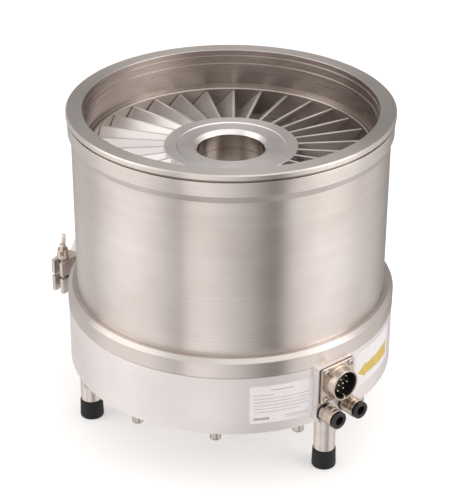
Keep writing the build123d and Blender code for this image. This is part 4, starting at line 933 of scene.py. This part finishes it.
def surroundColour(tree, direction, s):
    # what stands round the pump in this direction: cards by bearing, a silk above and shadow below
    parts = addNode(tree, "ShaderNodeSeparateXYZ", {0: direction})
    east, north, up = parts.outputs
    bearing = addNode(tree, "ShaderNodeMath", {0: north, 1: east}, operation="ARCTAN2")
    place = addNode(tree, "ShaderNodeMapRange", {0: bearing, 1: -math.pi, 2: math.pi, 3: 0.0, 4: 1.0})
    full = s["surroundFull"]
    stops = sorted((((angle + 180) % 360) / 360, level / full) for angle, level in s["surround"])
    (firstPlace, firstLevel), (lastPlace, lastLevel) = stops[0], stops[-1]
    seam = lastLevel + (firstLevel - lastLevel) * (1 - lastPlace) / (1 - lastPlace + firstPlace)
    stops = [(0.0, seam), *stops, (1.0, seam)]
    cards = addNode(tree, "ShaderNodeValToRGB", {0: place}, [
        (at, (*(level * tint for tint in s["surroundTint"]), 1)) for at, level in stops])
    silkBearing = math.radians(s["overheadBearing"])
    lean = addNode(tree, "ShaderNodeVectorMath", {
        0: direction, 1: (math.cos(silkBearing), math.sin(silkBearing), 0)}, operation="DOT_PRODUCT")
    level = addNode(tree, "ShaderNodeMapRange", {
        0: lean.outputs["Value"], 1: -1.0, 2: 1.0, 3: s["overheadLevel"] - s["overheadTilt"],
        4: s["overheadLevel"] + s["overheadTilt"]})
    silk = addNode(tree, "ShaderNodeCombineXYZ", {0: level, 1: level, 2: level})
    overhead = addNode(tree, "ShaderNodeMapRange", {
        0: up, 1: s["overheadFrom"], 2: s["overheadFull"], 3: 0.0, 4: 1.0})
    under = addNode(tree, "ShaderNodeMapRange", {
        0: up, 1: s["underFull"], 2: s["underFrom"], 3: 1.0, 4: 0.0})
    above = addNode(tree, "ShaderNodeMixRGB", {0: overhead, 1: cards, 2: silk})
    return addNode(tree, "ShaderNodeMixRGB", {0: under, 1: above, 2: s["underTint"]})


def makeFloor(s):
    mesh = bpy.data.meshes.new("studioFloor")
    half = s["floorSize"] / 2
    corners = [(-half, -half), (half, -half), (half, half), (-half, half)]
    mesh.from_pydata([(x, y, cadLow.z) for x, y in corners], [], [(0, 1, 2, 3)])
    floor = bpy.data.objects.new("studioFloor", mesh)
    bpy.context.scene.collection.objects.link(floor)
    # pale matt paint that keeps the pump's shadow, glows a little to the camera and is clear to metal
    material = bpy.data.materials.new("pale_floor_paint")
    material.use_nodes = True
    tree = material.node_tree
    tree.nodes.clear()
    rays = addNode(tree, "ShaderNodeLightPath").outputs
    paint = addNode(tree, "ShaderNodeBsdfPrincipled", {
        "Base Color": hexColour(s["floorColour"]), "Roughness": s["floorRoughness"]})
    glow = addNode(tree, "ShaderNodeEmission", {0: (1, 1, 1, 1), 1: s["floorGlow"]})
    both = addNode(tree, "ShaderNodeAddShader", {0: paint, 1: glow})
    seen = addNode(tree, "ShaderNodeMixShader", {0: rays["Is Camera Ray"], 1: paint, 2: both})
    clear = addNode(tree, "ShaderNodeBsdfTransparent")
    shone = addNode(tree, "ShaderNodeMixShader", {0: rays["Is Glossy Ray"], 1: seen, 2: clear})
    addNode(tree, "ShaderNodeOutputMaterial", {"Surface": shone})
    mesh.materials.append(material)


def makeWorld(s):
    world = bpy.data.worlds.new("studioWorld")
    bpy.context.scene.world = world
    world.use_nodes = True
    tree = world.node_tree
    tree.nodes.clear()
    rays = addNode(tree, "ShaderNodeLightPath").outputs
    surround = surroundColour(tree, addNode(tree, "ShaderNodeTexCoord").outputs["Generated"], s)
    white = addNode(tree, "ShaderNodeBackground", {0: (1, 1, 1, 1), 1: 1.0})
    room = addNode(tree, "ShaderNodeBackground", {0: surround, 1: s["roomLevel"]})
    shine = addNode(tree, "ShaderNodeBackground", {0: surround, 1: s["shineLevel"]})
    shiny = addNode(tree, "ShaderNodeMath", {
        0: rays["Is Glossy Ray"], 1: rays["Is Transmission Ray"]}, operation="MAXIMUM")
    around = addNode(tree, "ShaderNodeMixShader", {0: shiny, 1: room, 2: shine})
    both = addNode(tree, "ShaderNodeMixShader", {0: rays["Is Camera Ray"], 1: around, 2: white})
    addNode(tree, "ShaderNodeOutputWorld", {"Surface": both})


def makeSoftboxes(s):
    middle = (cadLow + cadHigh) / 2
    for name, (azimuth, elevation, distance, width, height, watts) in s["softboxes"].items():
        data = bpy.data.lights.new(name, "AREA")
        data.shape = "RECTANGLE"
        data.size, data.size_y = width, height
        data.energy = watts
        lamp = bpy.data.objects.new(name, data)
        bpy.context.scene.collection.objects.link(lamp)
        back = viewDirection(azimuth, elevation)
        lamp.location = middle + back * distance
        lamp.rotation_mode = "QUATERNION"
        lamp.rotation_quaternion = (-back).to_track_quat("-Z", "Y")


bpy.context.scene.view_settings.view_transform = "Standard"
makeFloor(studio)
makeWorld(studio)
makeSoftboxes(studio)
print("studio ready")
